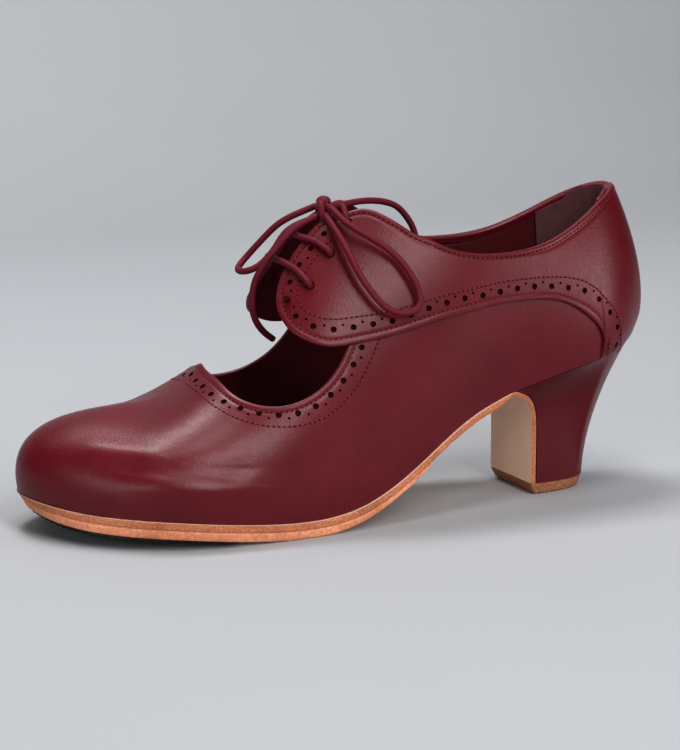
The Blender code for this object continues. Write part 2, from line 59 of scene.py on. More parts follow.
# Sizes of leather, sole, heel and lace.
WALL = 1.5
QUARTER_STEP = 1.2
FLAP_UNDER = 0.6
LEAF_GAP = 0.03
EYELET_RADIUS = 1.7
SEAM_GAP = 0.3
SOLE_OUT = 1.0
OUTSOLE_THICK = 2.5
LAYER_GAP = 0.1
TOE_PLATE_THICK = 1.1
TOE_PLATE_IN = 0.4
BREAST_RING = 0.252
BREAST_FLAP_THICK = 1.8
BREAST_FLAP_GAP = 0.3
HEEL_FRONT_X = 51.4
HEEL_BACK_X = 22.6
HEEL_HALF = 15.6
HEEL_CENTRE_Y = -0.6
HEEL_TURN = math.radians(4.5)
HEEL_CURVE_BACK = 1.75
HEEL_CURVE_BREAST = 8.0
LIFT_THICK = 4.2
LIFT_TREAD = (0.88, 0.95, 1.0)
LACE_RADIUS = 1.2

# One row per section of the last, from the back of the heel to the toe tip.
LAST_COLUMNS = ("ring", "x", "outer", "inner", "edge", "ridge_x", "ridge_y", "lean", "wall", "crown")
LAST_ROWS = (
    (0.000, 2.0, 0.0, 0.0, 60.6, 34.0, 0.0, 0.33, 29.0, 4.0),
    (0.070, 11.5, 15.8, -15.2, 57.4, 36.0, 0.0, 0.29, 33.0, 4.5),
    (0.155, 30.0, 27.0, -26.0, 52.7, 50.0, 0.0, 0.20, 36.0, 5.0),
    (0.245, 60.5, 28.0, -25.0, 44.3, 70.0, 0.0, 0.22, 47.0, 11.0),
    (0.375, 92.0, 32.0, -23.5, 29.7, 100.0, 0.0, 0.18, 49.0, 16.0),
    (0.500, 125.5, 36.8, -27.0, 9.0, 127.0, 0.0, 0.19, 39.0, 21.0),
    (0.615, 161.0, 41.5, -34.8, 6.3, 158.0, -0.8, 0.24, 24.5, 26.0),
    (0.735, 194.5, 40.2, -37.3, 9.7, 175.0, -2.0, 0.33, 23.5, 22.5),
    (0.865, 223.8, 24.0, -29.0, 11.7, 190.0, -2.0, 0.20, 26.0, 20.0),
    (1.000, 241.5, -4.0, -4.0, 14.6, 199.0, -2.0, 0.18, 26.5, 19.5),
)
RIDGE_ROWS = (
    (30.0, 146.0), (62.0, 147.6), (95.0, 138.0), (122.0, 115.7),
    (145.0, 92.5), (165.0, 63.2), (175.0, 54.2), (187.0, 46.6), (204.0, 43.3),
)
# Edges of the leather, alike on both sides: ring, rise (0 at the sole, 1 on the ridge).
VAMP_EDGE = (
    (0.722, 1.000), (0.711, 0.932), (0.690, 0.828), (0.662, 0.660), (0.631, 0.532),
    (0.603, 0.456), (0.578, 0.416), (0.550, 0.405), (0.530, 0.424), (0.512, 0.465),
    (0.488, 0.525), (0.460, 0.580), (0.436, 0.600),
)
COLLAR_EDGE = (
    (0.410, 0.565), (0.387, 0.506), (0.366, 0.457), (0.342, 0.417), (0.316, 0.388),
    (0.285, 0.368), (0.250, 0.359), (0.216, 0.368), (0.178, 0.400), (0.132, 0.445),
    (0.067, 0.493), (0.000, 0.507),
)
FLAP_TIP = 15
QUARTER_EDGE = (
    (0.149, 0.000), (0.149, 0.030), (0.156, 0.103), (0.172, 0.152), (0.200, 0.203),
    (0.245, 0.229), (0.298, 0.247), (0.341, 0.267), (0.382, 0.299), (0.419, 0.335),
    (0.453, 0.373), (0.510, 0.445), (0.539, 0.490), (0.566, 0.577), (0.581, 0.678),
    (0.585, 0.770), (0.579, 0.845), (0.567, 0.884), (0.545, 0.902), (0.522, 0.905),
    (0.509, 0.879), (0.491, 0.836), (0.474, 0.800), (0.458, 0.750), (0.444, 0.694),
    (0.428, 0.630),
)
# Middle line of the quarter, from the heel to the flap.
QUARTER_SPINE = (
    (0.000, 0.250), (0.070, 0.250), (0.155, 0.280), (0.245, 0.295), (0.316, 0.320),
    (0.387, 0.400), (0.450, 0.550), (0.500, 0.650), (0.545, 0.735),
)
EYELETS = ((0.548, 0.707), (0.519, 0.738), (0.490, 0.790))
# Where each part of the vamp's upper edge hangs on the sole edge: ring above, ring below.
VAMP_HANG = (
    (0.0, 0.0), (0.500, 0.500), (0.555, 0.560), (0.585, 0.615), (0.616, 0.690),
    (0.649, 0.780), (0.682, 0.880), (0.709, 0.955), (0.722, 1.000),
)

# Whole thickness of the sole: x, thickness.
SOLE_ROWS = ((98.0, 3.6), (106.0, 4.5), (118.0, 4.9), (130.0, 5.5), (142.0, 6.0), (250.0, 6.0))
HALF_SOLE_RING = 0.408
TOE_PLATE_RING = 0.665
# How far the sole is cut back under the toe, at the tread and between the layers.
TOE_TUCK = 4.2
TOE_TUCK_MIDDLE = 0.4
TOE_TUCK_RINGS = (0.85, 0.98)
# How far the toe of the upper hangs over the sole, and where that begins.
TOE_PULL = 0.7
TOE_PULL_RING = 0.90
# Share of the cut-back that the half sole's own edge takes.
HALF_SOLE_TUCK = 0.8
# The nailed layer is worn thin at its back end: ring, share of its thickness.
PLATE_WEAR = ((0.70, 0.25), (0.82, 1.0))

# Punched and stitched bands: millimetres along the edge, distance of the hole row from the edge.
VAMP_BAND = (
    (0.0, 5.3), (17.0, 5.7), (23.0, 5.4), (29.0, 3.8), (35.0, 3.1), (41.0, 3.0), (47.0, 3.4), (52.0, 4.0),
    (64.0, 4.0), (90.0, 5.0),
)
QUARTER_BAND = (
    (0.0, 7.7), (9.0, 7.4), (13.0, 6.9), (18.0, 7.3), (23.0, 7.2), (29.0, 5.5), (35.0, 4.8), (48.0, 4.8),
    (55.0, 4.3), (63.0, 4.4), (70.0, 5.1), (84.0, 5.3), (99.0, 4.9), (108.0, 5.5), (124.0, 6.1),
    (135.0, 5.5), (145.0, 4.6), (157.0, 4.9), (168.0, 5.7), (260.0, 5.7),
)
# The stitched rows beyond the holes, in the same way.
VAMP_STITCH = (
    (0.0, 8.4), (20.0, 8.6), (28.0, 7.8), (39.0, 7.2), (45.0, 7.5), (52.0, 8.5), (58.0, 9.2), (90.0, 9.6),
)
QUARTER_STITCH = (
    (0.0, 9.4), (15.0, 9.2), (21.0, 10.0), (26.0, 9.8), (30.0, 9.1), (35.0, 8.2), (41.0, 7.9), (61.0, 7.5),
    (73.0, 7.7), (99.0, 8.3), (124.0, 9.8), (135.0, 9.3), (145.0, 8.3), (157.0, 8.6),
    (168.0, 9.4), (260.0, 9.4),
)
HOLE_PITCH = 7.1
HOLE_RADIUS = 1.1
PINHOLE_RADIUS = 0.45
PINHOLE_OFFSET = 1.35
STITCH_PITCH = 1.85
EDGE_STITCH = 2.5
COLLAR_STITCH = 1.8
# Half sizes of the dark dot of painted shade at a needle hole and of a thread: along, across, up.
NEEDLE_SHADE_DOT = (0.46, 0.42, 0.12)
THREAD_SIZE = (0.34 * STITCH_PITCH, 0.24, 0.2)
# Where the vamp's rows end under the flap, and where the quarter's rows begin at the heel seat.
VAMP_ROWS = 118.0
VAMP_COVERED = 96.0
VAMP_EDGE_ROW = 88.0
VAMP_BAND_ROW = 110.0
HEEL_ROW_START = 1.0
FLAP_TOP_RING = 0.520
# Heights over the last of the floors of holes and pinholes, of the eyelets, and of the cutters' tops.
VAMP_HOLE_FLOORS = (-1.0, -0.9)
QUARTER_HOLE_FLOORS = (0.12, 0.2)
EYELET_FLOOR = -2.5
VAMP_CUTTER_TOP = 1.5
QUARTER_CUTTER_TOP = 3.0
# How the vamp stands off at the throat and the quarters tuck in at the heel seat: height, reach.
THROAT_FLARE = 1.3
THROAT_REACH = 5.5
SEAT_TUCK = 0.9
SEAT_REACH = 5.0
# Rounding of the cut edges, and the folded hem behind the collar.
VAMP_RIM = 0.75
QUARTER_RIM = 0.6
COLLAR_RIM = 1.0
COLLAR_FOLD = 0.3
HEM_WIDTH = 3.4
# How far the lining's edge lies below the collar: ring, drop.
LINING_DROP = ((0.36, 3.4), (0.44, 0.0))
# Nail heads under the toe.
NAIL_PITCH = 3.0
NAIL_SIZE = (1.25, 1.25, 0.28)

BAR_ROWS = {
    "lace_bar_lower": ((0.548, 0.707), (0.553, 0.770), (0.558, 0.830), (0.562, 0.885)),
    "lace_bar_middle": ((0.519, 0.738), (0.526, 0.795), (0.533, 0.850), (0.538, 0.893)),
    "lace_bar_upper": ((0.490, 0.795), (0.489, 0.820), (0.488, 0.842)),
}
# How far the middle of the upper bar is pulled back and down, behind the knot.
BAR_DIPS = {"lace_bar_upper": (-0.8, 0.0, -5.0)}
# Heights of a bar: its gap over the quarter, where it leaves the eyelet, and inside the eyelet.
BAR_CLEAR = 0.1
BAR_ENTRY = 0.9
BAR_DEPTHS = (-1.6, -0.4)
# Rounded cut at a cord's end, in shares of its radius: how far back, how wide.
CORD_END = ((0.35, 0.0), (0.35, 0.6), (0.2, 0.88))
BOW_ROUTES = {
    "bow_loop_outer": (
        (129.2, 5.2, 111.8), (128.8, 12.4, 110.8), (127.0, 18.4, 107.6), (122.4, 23.2, 104.0),
        (116.6, 26.6, 100.1), (110.9, 29.6, 94.9), (107.0, 32.8, 88.6), (105.0, 34.2, 83.3),
        (105.1, 35.3, 79.7), (107.4, 36.0, 77.3), (112.4, 36.4, 76.7), (117.7, 35.8, 78.7),
        (122.6, 33.2, 84.3), (125.6, 30.4, 89.6), (127.8, 27.0, 95.6), (129.5, 22.6, 101.2),
        (130.7, 17.0, 105.6), (130.8, 11.2, 108.2), (130.0, 6.0, 108.9),
    ),
    "bow_loop_front": (
        (130.3, -1.6, 111.1), (136.5, -4.2, 108.3), (142.6, -7.4, 104.5), (146.2, -9.8, 100.6),
        (149.9, -12.0, 96.0), (153.2, -13.6, 91.9), (156.4, -11.8, 89.2), (157.9, -7.4, 88.1),
        (156.4, -3.2, 88.5), (152.9, -1.0, 90.3), (150.3, -0.1, 92.7), (147.2, 0.8, 96.6),
        (142.9, 1.2, 102.5), (136.5, 1.4, 105.8), (131.6, 1.4, 107.2),
    ),
    "bow_end_front": (
        (131.8, 4.6, 108.3), (136.8, 4.6, 106.3), (142.4, 4.0, 102.6), (147.2, 3.6, 97.3),
        (150.5, 3.0, 93.5), (152.8, 2.2, 89.7), (154.6, 1.0, 85.4), (155.4, 0.0, 79.8),
        (155.0, -0.8, 74.0), (153.0, -2.0, 69.4), (149.6, -3.2, 65.4), (146.2, -4.2, 62.8),
    ),
    "bow_end_inner": (
        (126.4, 0.5, 110.9), (119.3, -3.4, 111.0), (112.0, -7.0, 111.3), (105.3, -10.5, 111.0),
        (98.7, -13.5, 109.9), (93.2, -15.5, 107.8), (89.0, -16.8, 104.1), (86.2, -17.0, 100.0),
        (84.6, -16.8, 94.6), (84.0, -16.4, 88.4),
    ),
}
KNOT_MIDDLE = (129.0, 2.4, 110.2)

# Size of the flat pattern, and how far its oval is spread.
FLAT = 100.0
FLAT_SPREAD = 1.05


# The last, as in the part's own source.
def spline_bends(knots, closed):
    """Second derivatives of a cubic spline, as a linear map of its values."""
    count = len(knots)
    step = np.diff(knots)
    if closed:
        count -= 1
    left = np.zeros((count, count))
    right = np.zeros((count, len(knots)))
    for i in range(count):
        if not closed and i in (0, count - 1):
            left[i, i] = 1.0
            continue
        before, after = step[i - 1], step[i]
        last = i - 1 if i else count - 1
        left[i, last] += before
        left[i, i] += 2 * (before + after)
        left[i, (i + 1) % count] += after
        right[i, last] += 6 / before
        right[i, i] -= 6 / before + 6 / after
        right[i, i + 1] += 6 / after
    bends = np.linalg.solve(left, right)
    return np.vstack([bends, bends[:1]]) if closed else bends


def spline_at(knots, bends, places, slope=False):
    """Weights of the knot values that give the spline, or its slope, at each place."""
    places = np.asarray(places, float)
    i = np.clip(np.searchsorted(knots, places, side="right") - 1, 0, len(knots) - 2)
    step = knots[i + 1] - knots[i]
    p = (knots[i + 1] - places) / step
    q = (places - knots[i]) / step
    rows = np.arange(len(places))
    weights = np.zeros((len(places), len(knots)))
    weights[rows, i] = -1 / step if slope else p
    weights[rows, i + 1] = 1 / step if slope else q
    low = step * (1 - 3 * p * p) / 6 if slope else step * step * (p**3 - p) / 6
    high = step * (3 * q * q - 1) / 6 if slope else step * step * (q**3 - q) / 6
    return weights + low[:, None] * bends[i] + high[:, None] * bends[i + 1]


def distances(points):
    """Distance along a line of points, from its start."""
    return np.concatenate([[0.0], np.cumsum(np.linalg.norm(np.diff(points, axis=0), axis=1))])


def smooth_line(points, count):
    """Evenly spread points on a smooth curve through the given ones."""
    points = np.asarray(points, float)
    along = distances(points)
    return spline_at(along, spline_bends(along, False), np.linspace(0, along[-1], count)) @ points


def unit(vectors):
    return vectors / np.linalg.norm(vectors, axis=-1, keepdims=True)


def along_line(want, along, line):
    """Points of a line at the wanted distances along it."""
    return np.stack([np.interp(want, along, column) for column in line.T], -1)


def between(one, two, share):
    return one + (two - one) * share


def from_table(rows, place):
    """Second column of a table of pairs, read between its rows."""
    rows = np.array(rows)
    return np.interp(place, rows[:, 0], rows[:, 1])


def hill(gap, width):
    """A soft hill: 1 in its middle, less with a growing gap from it."""
    return np.exp(-((gap / width) ** 2))


def eased(value, start, end):
    """Goes smoothly from 0 at the start to 1 at the end."""
    share = np.clip((value - start) / (end - start), 0, 1)
    return share**2 * (3 - 2 * share)


LAST = {name: np.array([row[i] for row in LAST_ROWS]) for i, name in enumerate(LAST_COLUMNS)}
ROUND = np.concatenate([LAST["ring"], 2 - LAST["ring"][-2::-1]])
ROUND_BENDS = spline_bends(ROUND, True)
RIDGE_X = np.array([row[0] for row in RIDGE_ROWS])
RIDGE_Z = np.array([row[1] for row in RIDGE_ROWS])
RIDGE_BENDS = spline_bends(RIDGE_X, False)


def section(side, ring, name):
    """One column of the last at each ring place, on the outer (1) or inner (-1) side."""
    ring = np.asarray(ring, float)
    weights = spline_at(ROUND, ROUND_BENDS, np.where(np.asarray(side) > 0, ring, 2 - ring))
    outer, inner = ("outer", "inner") if name == "y" else (name, name)
    return weights @ np.concatenate([LAST[outer], LAST[inner][-2::-1]])


def last_point(side, ring, rise):
    """Points of the vamp's outer face."""
    side = np.broadcast_to(side, np.shape(ring))
    rise = np.asarray(rise, float)[:, None]
    edge = np.stack([section(side, ring, n) for n in ("x", "y", "edge")], -1)
    ridge_x = section(side, ring, "ridge_x")
    place = np.clip(ridge_x, RIDGE_X[0], RIDGE_X[-1])
    ridge_z = spline_at(RIDGE_X, RIDGE_BENDS, place) @ RIDGE_Z
    fall = spline_at(RIDGE_X, RIDGE_BENDS, place, slope=True) @ RIDGE_Z
    top = np.stack([ridge_x, section(side, ring, "ridge_y"), ridge_z], -1)
    out = unit((edge - top) * [1, 1, 0])
    up = np.array([0, 0, 1.0]) + section(side, ring, "lean")[:, None] * out
    low = edge + section(side, ring, "wall")[:, None] * up
    over = out + fall[:, None] * out[:, :1] * [0, 0, 1]
    high = top + section(side, ring, "crown")[:, None] * over
    rest = 1 - rise
    return rest**3 * edge + 3 * rest**2 * rise * low + 3 * rest * rise**2 * high + rise**3 * top


def last_slopes(side, ring, rise):
    """Directions of growing ring and growing rise, away from the singular ends."""
    small = 1e-3
    ring = np.clip(ring, 0.012, 0.988)
    rise = np.clip(rise, 0.004, 0.985)
    along = last_point(side, ring + small, rise) - last_point(side, ring - small, rise)
    up = last_point(side, ring, rise + small) - last_point(side, ring, rise - small)
    return along / (2 * small), up / (2 * small)


def last_normal(side, ring, rise):
    """Outward directions; the two sides share one at the ridge and at the ring's ends."""
    side = np.broadcast_to(side, np.shape(ring))
    along, up = last_slopes(side, ring, rise)
    out = unit(np.cross(up, along) * side[:, None])
    mirror = unit(np.cross(*last_slopes(-side, ring, rise)[::-1]) * -side[:, None])
    near_ring = np.minimum(ring, 1 - np.asarray(ring))
    share = np.maximum(np.clip((rise - 0.97) / 0.03, 0, 1), np.clip((0.012 - near_ring) / 0.012, 0, 1))
    return unit(out + (share * 0.999)[:, None] * mirror)


def over_last(side, ring, rise, lift):
    return last_point(side, ring, rise) + np.asarray(lift)[..., None] * last_normal(side, ring, rise)


def to_flat(side, ring, rise):
    """Place on the flat pattern: the sole edge is an oval and the ridge a straight line inside it."""
    spread = (1 - np.asarray(rise, float)) * FLAT_SPREAD
    turn = np.pi * np.asarray(ring, float)
    return np.stack([-np.cosh(spread) * np.cos(turn), side * np.sinh(spread) * np.sin(turn)], -1) * FLAT


def from_flat(points):
    x, y = points[:, 0] / FLAT, points[:, 1] / FLAT
    near, far = np.hypot(x - 1, y), np.hypot(x + 1, y)
    rise = 1 - np.arccosh(np.maximum((near + far) / 2, 1)) / FLAT_SPREAD
    ring = np.arccos(np.clip((near - far) / 2, -1, 1)) / np.pi
    return np.where(y >= 0, 1, -1), ring, np.clip(rise, 0, 1)


def rim_point(side, ring, out):
    """The sole edge in plan, moved outwards."""
    side = np.broadcast_to(side, np.shape(ring))
    small = 1e-3
    turn = np.where(side > 0, ring, 2 - np.asarray(ring))

    def plan(place):
        place = np.mod(place, 2)
        on = np.where(place <= 1, 1, -1)
        part = np.where(place <= 1, place, 2 - place)
        return np.stack([section(on, part, "x"), section(on, part, "y")], -1)

    ahead = unit(plan(turn + small) - plan(turn - small))
    outward = np.stack([-ahead[:, 1], ahead[:, 0]], -1)
    return plan(turn) + np.asarray(out)[..., None] * outward


def edge_height(ring):
    return section(np.ones(len(ring)), ring, "edge")


def heel_side(side, place, down, front=HEEL_FRONT_X - BREAST_FLAP_THICK - BREAST_FLAP_GAP):
    """Points of the heel's side: place runs 0 at the breast to 1 at the back, down 0 to 1."""
    place, down = np.broadcast_arrays(np.asarray(place, float), np.asarray(down, float))
    ring = BREAST_RING * (1 - place)
    seat = rim_point(side, ring, -0.2)
    seat_z = edge_height(ring) - SEAM_GAP
    angle = place * np.pi / 2
    length = front - HEEL_BACK_X
    x = -length * np.sin(angle) ** 0.8
    y = side * HEEL_HALF * np.maximum(np.cos(angle), 0) ** 0.8
    foot = np.stack(
        [
            front + x * math.cos(HEEL_TURN) - y * math.sin(HEEL_TURN),
            HEEL_CENTRE_Y + x * math.sin(HEEL_TURN) + y * math.cos(HEEL_TURN),
        ],
        -1,
    )
    power = HEEL_CURVE_BREAST + (HEEL_CURVE_BACK - HEEL_CURVE_BREAST) * np.minimum(place * 2.0, 1)
    share = (1 - (1 - down) ** power)[:, None]
    plan = seat + (foot - seat) * share
    height = seat_z + (LIFT_THICK + LAYER_GAP - seat_z) * down
    return np.concatenate([plan, height[:, None]], 1)


# Turning points into pieces.
def row_frame(points):
    """Last frame millimetres to row frame metres."""
    return (np.asarray(points, float) - [CENTRE_X, CENTRE_Y, 0.0]) * MM


def on_last(flat, lift):
    """A flat pattern laid over the last; lift is the height above it."""
    side, ring, rise = from_flat(flat.reshape(-1, 2))
    laid = over_last(side, ring, rise, np.broadcast_to(lift, flat.shape[:-1]).reshape(-1))
    return laid.reshape(*flat.shape[:-1], 3)


def normal_on_last(flat):
    return last_normal(*from_flat(flat.reshape(-1, 2))).reshape(*flat.shape[:-1], 3)


def mesh_of(work, name):
    """A mesh of what was built; the working copy is freed."""
    mesh = bpy.data.meshes.new(name)
    work.to_mesh(mesh)
    work.free()
    return mesh


def add_object(name, data):
    made = bpy.data.objects.new(name, data)
    bpy.context.scene.collection.objects.link(made)
    return made


def sheet_mesh(places, finish_of=None):
    """A grid sheet moved to the given places, columns by rows; its edges weld where they meet."""
    columns, rows = places.shape[:2]
    work = bmesh.new()
    bmesh.ops.create_grid(work, x_segments=columns - 1, y_segments=rows - 1, size=1.0)
    uv = work.loops.layers.uv.new("UVMap")
    for face in work.faces:
        for corner in face.loops:
            corner[uv].uv = ((corner.vert.co.x + 1) / 2, (corner.vert.co.y + 1) / 2)
        if finish_of is not None:
            middle = face.calc_center_median()
            face.material_index = finish_of((middle.y + 1) / 2 * (rows - 1))
    moved = row_frame(places)
    for vertex in work.verts:
        i = round((vertex.co.x + 1) / 2 * (columns - 1))
        j = round((vertex.co.y + 1) / 2 * (rows - 1))
        vertex.co = moved[i, j]
    bmesh.ops.remove_doubles(work, verts=work.verts, dist=2e-7)
    bmesh.ops.dissolve_degenerate(work, edges=work.edges, dist=1e-7)
    bmesh.ops.recalc_face_normals(work, faces=work.faces)
    return mesh_of(work, "sheet")


def add_piece(name, mesh, finishes, replaces=(), smooth=40):
    """A finished piece of the shoe, riding on its one body."""
    mesh.name = name
    while len(mesh.materials) < len(finishes):
        mesh.materials.append(None)
    for i, finish in enumerate(finishes):
        mesh.materials[i] = finish
    mesh.shade_smooth()
    mesh.set_sharp_from_angle(angle=math.radians(smooth))
    piece = add_object(name, mesh)
    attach(piece, "root")
    if replaces:
        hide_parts(*replaces)
    return piece


def joined_copies(template, frames):
    """One mesh of many small copies; each frame is a 4x4 matrix from the template to the last frame."""
    co = np.array([v.co[:] for v in template.vertices])
    faces = [list(p.vertices) for p in template.polygons]
    count = len(co)
    points = []
    polygons = []
    for i, matrix in enumerate(frames):
        matrix = np.asarray(matrix)
        points.append(row_frame(co @ matrix[:3, :3].T + matrix[:3, 3]))
        polygons += [[v + i * count for v in face] for face in faces]
    mesh = bpy.data.meshes.new("copies")
    mesh.from_pydata(np.concatenate(points).tolist(), [], polygons)
    mesh.update()
    return mesh


def template_of(build):
    work = bmesh.new()
    build(work)
    return mesh_of(work, "template")


def frame_at(place, ahead, up, sizes):
    """Matrix that stands a template at a place: its x along ahead, its z along up."""
    ahead = unit(ahead - up * (ahead @ up))
    across = np.cross(up, ahead)
    matrix = np.eye(4)
    matrix[:3, 0] = ahead * sizes[0]
    matrix[:3, 1] = across * sizes[1]
    matrix[:3, 2] = up * sizes[2]
    matrix[:3, 3] = place
    return matrix


# Finishes.
def new_finish(name, roughness, coat=0.0, coat_roughness=0.3, metallic=0.0):
    made = bpy.data.materials.new(name)
    made.use_nodes = True
    shader = made.node_tree.nodes["Principled BSDF"]
    shader.inputs["Roughness"].default_value = roughness
    shader.inputs["Metallic"].default_value = metallic
    shader.inputs["Coat Weight"].default_value = coat
    shader.inputs["Coat Roughness"].default_value = coat_roughness
    place = made.node_tree.nodes.new("ShaderNodeTexCoord")
    return made, made.node_tree, shader, place


def node(tree, kind, output, values, source, into="Vector"):
    """A shader node with constants and one link; gives back one of its outputs."""
    made = tree.nodes.new("ShaderNode" + kind)
    for name, value in values.items():
        made.inputs[name].default_value = value
    tree.links.new(source, made.inputs[into])
    return made.outputs[output]


def stretched(tree, where, scale):
    return node(tree, "Mapping", "Vector", {"Scale": scale}, where)


def noise(tree, where, scale, detail=4.0, rough=0.55):
    return node(tree, "TexNoise", "Fac", {"Scale": scale, "Detail": detail, "Roughness": rough}, where)


def cells(tree, where, scale, smooth=0.6):
    made = tree.nodes.new("ShaderNodeTexVoronoi")
    made.feature = "SMOOTH_F1"
    made.inputs["Scale"].default_value = scale
    made.inputs["Smoothness"].default_value = smooth
    tree.links.new(where, made.inputs["Vector"])
    return made.outputs["Distance"]


def colours(tree, value, stops):
    """A colour ramp; each stop is a place and a linear colour."""
    made = tree.nodes.new("ShaderNodeValToRGB")
    ramp = made.color_ramp
    while len(ramp.elements) < len(stops):
        ramp.elements.new(0.5)
    for element, (place, colour) in zip(ramp.elements, stops):
        element.position = place
        element.color = (*colour, 1.0)
    tree.links.new(value, made.inputs["Fac"])
    return made.outputs["Color"]


def paint(tree, shader, value, stops):
    """The base colour, as a ramp over a value."""
    tree.links.new(colours(tree, value, stops), shader.inputs["Base Color"])


def levels(tree, value, low, high):
    """Spreads the usual range of a noise over a new one."""
    values = {"From Min": 0.3, "From Max": 0.7, "To Min": low, "To Max": high}
    return node(tree, "MapRange", "Result", values, value, "Value")


def relief(tree, shader, layers):
    """Bump layers: height, strength, depth in millimetres."""
    last = None
    for height, strength, depth in layers:
        made = tree.nodes.new("ShaderNodeBump")
        made.inputs["Strength"].default_value = strength
        made.inputs["Distance"].default_value = depth * MM
        tree.links.new(height, made.inputs["Height"])
        if last is not None:
            tree.links.new(last, made.inputs["Normal"])
        last = made.outputs["Normal"]
    tree.links.new(last, shader.inputs["Normal"])
    tree.links.new(last, shader.inputs["Coat Normal"])


def calf_leather(name, dark, middle, light, roughness):
    """Satin calf: soft clouds of colour, fine pebble and pores, a low waxy gloss."""
    made, tree, shader, place = new_finish(name, roughness, 0.34, 0.31)
    shader.inputs["Specular IOR Level"].default_value = 0.24
    where = place.outputs["Object"]
    clouds = noise(tree, where, 38.0, 5.0, 0.6)
    paint(tree, shader, clouds, ((0.28, dark), (0.5, middle), (0.74, light)))
    tree.links.new(levels(tree, noise(tree, where, 420.0, 4.0), roughness - 0.05, roughness + 0.07),
                   shader.inputs["Roughness"])
    relief(tree, shader, (
        (noise(tree, where, 90.0, 3.0), 0.12, 0.2),
        (cells(tree, where, 1250.0), 0.45, 0.07),
        (noise(tree, where, 2600.0, 3.0), 0.35, 0.04),
    ))
    return made


def mottled(name, roughness, grain, dark, light, metallic=0.0):
    """A finish of two colours mixed by one noise, whose scale, detail and roughness are the grain."""
    made, tree, shader, place = new_finish(name, roughness, metallic=metallic)
    where = place.outputs["Object"]
    paint(tree, shader, noise(tree, where, *grain), ((0.3, dark), (0.7, light)))
    return made, tree, shader, where


def lining_leather():
    made, tree, shader, where = mottled(
        "lining_leather", 0.55, (70.0,), (0.078, 0.0038, 0.0074), (0.115, 0.0066, 0.0118))
    relief(tree, shader, ((cells(tree, where, 1100.0), 0.25, 0.05),))
    return made


def grip_suede():
    made, tree, shader, where = mottled(
        "grip_suede", 0.9, (260.0, 6.0, 0.7), (0.110, 0.034, 0.040), (0.165, 0.060, 0.064))
    shader.inputs["Sheen Weight"].default_value = 0.25
    relief(tree, shader, ((noise(tree, where, 2400.0, 5.0, 0.7), 0.5, 0.12),))
    return made


def painted_hole_shade(name, dark, light):
    """Painted shade inside a punched or needle hole: a dark colour standing for the shade in the hole's
    depth.
    """
    made, _, shader, _ = mottled(name, 0.85, (900.0,), dark, light)
    shader.inputs["Specular IOR Level"].default_value = 0.1
    return made


def sewing_thread():
    made, tree, shader, where = mottled(
        "sewing_thread", 0.5, (700.0,), (0.115, 0.0040, 0.0100), (0.165, 0.0080, 0.0170))
    relief(tree, shader, ((noise(tree, where, 4000.0), 0.4, 0.08),))
    return made


def cut_sole_leather(name, dark, middle, light, grain):
    """Raw cut edge: pale specks of fibre, thin plies along the edge and darker waxed stains."""
    made, tree, shader, place = new_finish(name, 0.6)
    shader.inputs["Specular IOR Level"].default_value = 0.3
    where = place.outputs["Object"]
    specks = noise(tree, where, grain, 3.0, 0.6)
    plies = noise(tree, stretched(tree, where, (0.12, 0.12, 1.0)), 700.0, 4.0, 0.6)
    stains = noise(tree, where, 60.0, 5.0, 0.6)
    fibre = colours(tree, specks, ((0.30, dark), (0.52, middle), (0.72, light)))
    shade = colours(tree, stains, ((0.28, (0.72, 0.64, 0.58)), (0.58, (1.0, 1.0, 1.0))))
    both = tree.nodes.new("ShaderNodeMix")
    both.data_type = "RGBA"
    both.blend_type = "MULTIPLY"
    both.inputs["Factor"].default_value = 1.0
    tree.links.new(fibre, both.inputs["A"])
    tree.links.new(shade, both.inputs["B"])
    tree.links.new(both.outputs["Result"], shader.inputs["Base Color"])
    tree.links.new(levels(tree, specks, 0.5, 0.75), shader.inputs["Roughness"])
    relief(tree, shader, (
        (plies, 0.35, 0.15),
        (specks, 0.45, 0.12),
    ))
    return made


def sole_face_leather():
    """Smooth pale face of the sole and breast flap, lightly scuffed."""
    made, tree, shader, place = new_finish("sole_face_leather", 0.5)
    where = place.outputs["Object"]
    clouds = noise(tree, where, 40.0, 6.0, 0.65)
    paint(tree, shader, clouds, (
        (0.28, (0.74, 0.505, 0.375)), (0.5, (0.80, 0.565, 0.425)), (0.72, (0.85, 0.62, 0.48))))
    tree.links.new(levels(tree, noise(tree, where, 120.0), 0.42, 0.6), shader.inputs["Roughness"])
    relief(tree, shader, (
        (noise(tree, stretched(tree, where, (1.0, 0.2, 1.0)), 300.0), 0.2, 0.1),
        (noise(tree, where, 1600.0), 0.25, 0.05),
    ))
    return made


# Iron of the nail heads and toe plate; its colour is darker than bare iron, painted shade for the shadow
# under the toe.
def nail_metal_painted_shade():
    made, tree, shader, where = mottled(
        "nail_metal_painted_shade", 0.42, (350.0,), (0.014, 0.012, 0.012), (0.045, 0.038, 0.036), 0.75)
    tree.links.new(levels(tree, noise(tree, where, 900.0), 0.3, 0.55), shader.inputs["Roughness"])
    relief(tree, shader, ((noise(tree, where, 1500.0), 0.4, 0.1),))
    return made


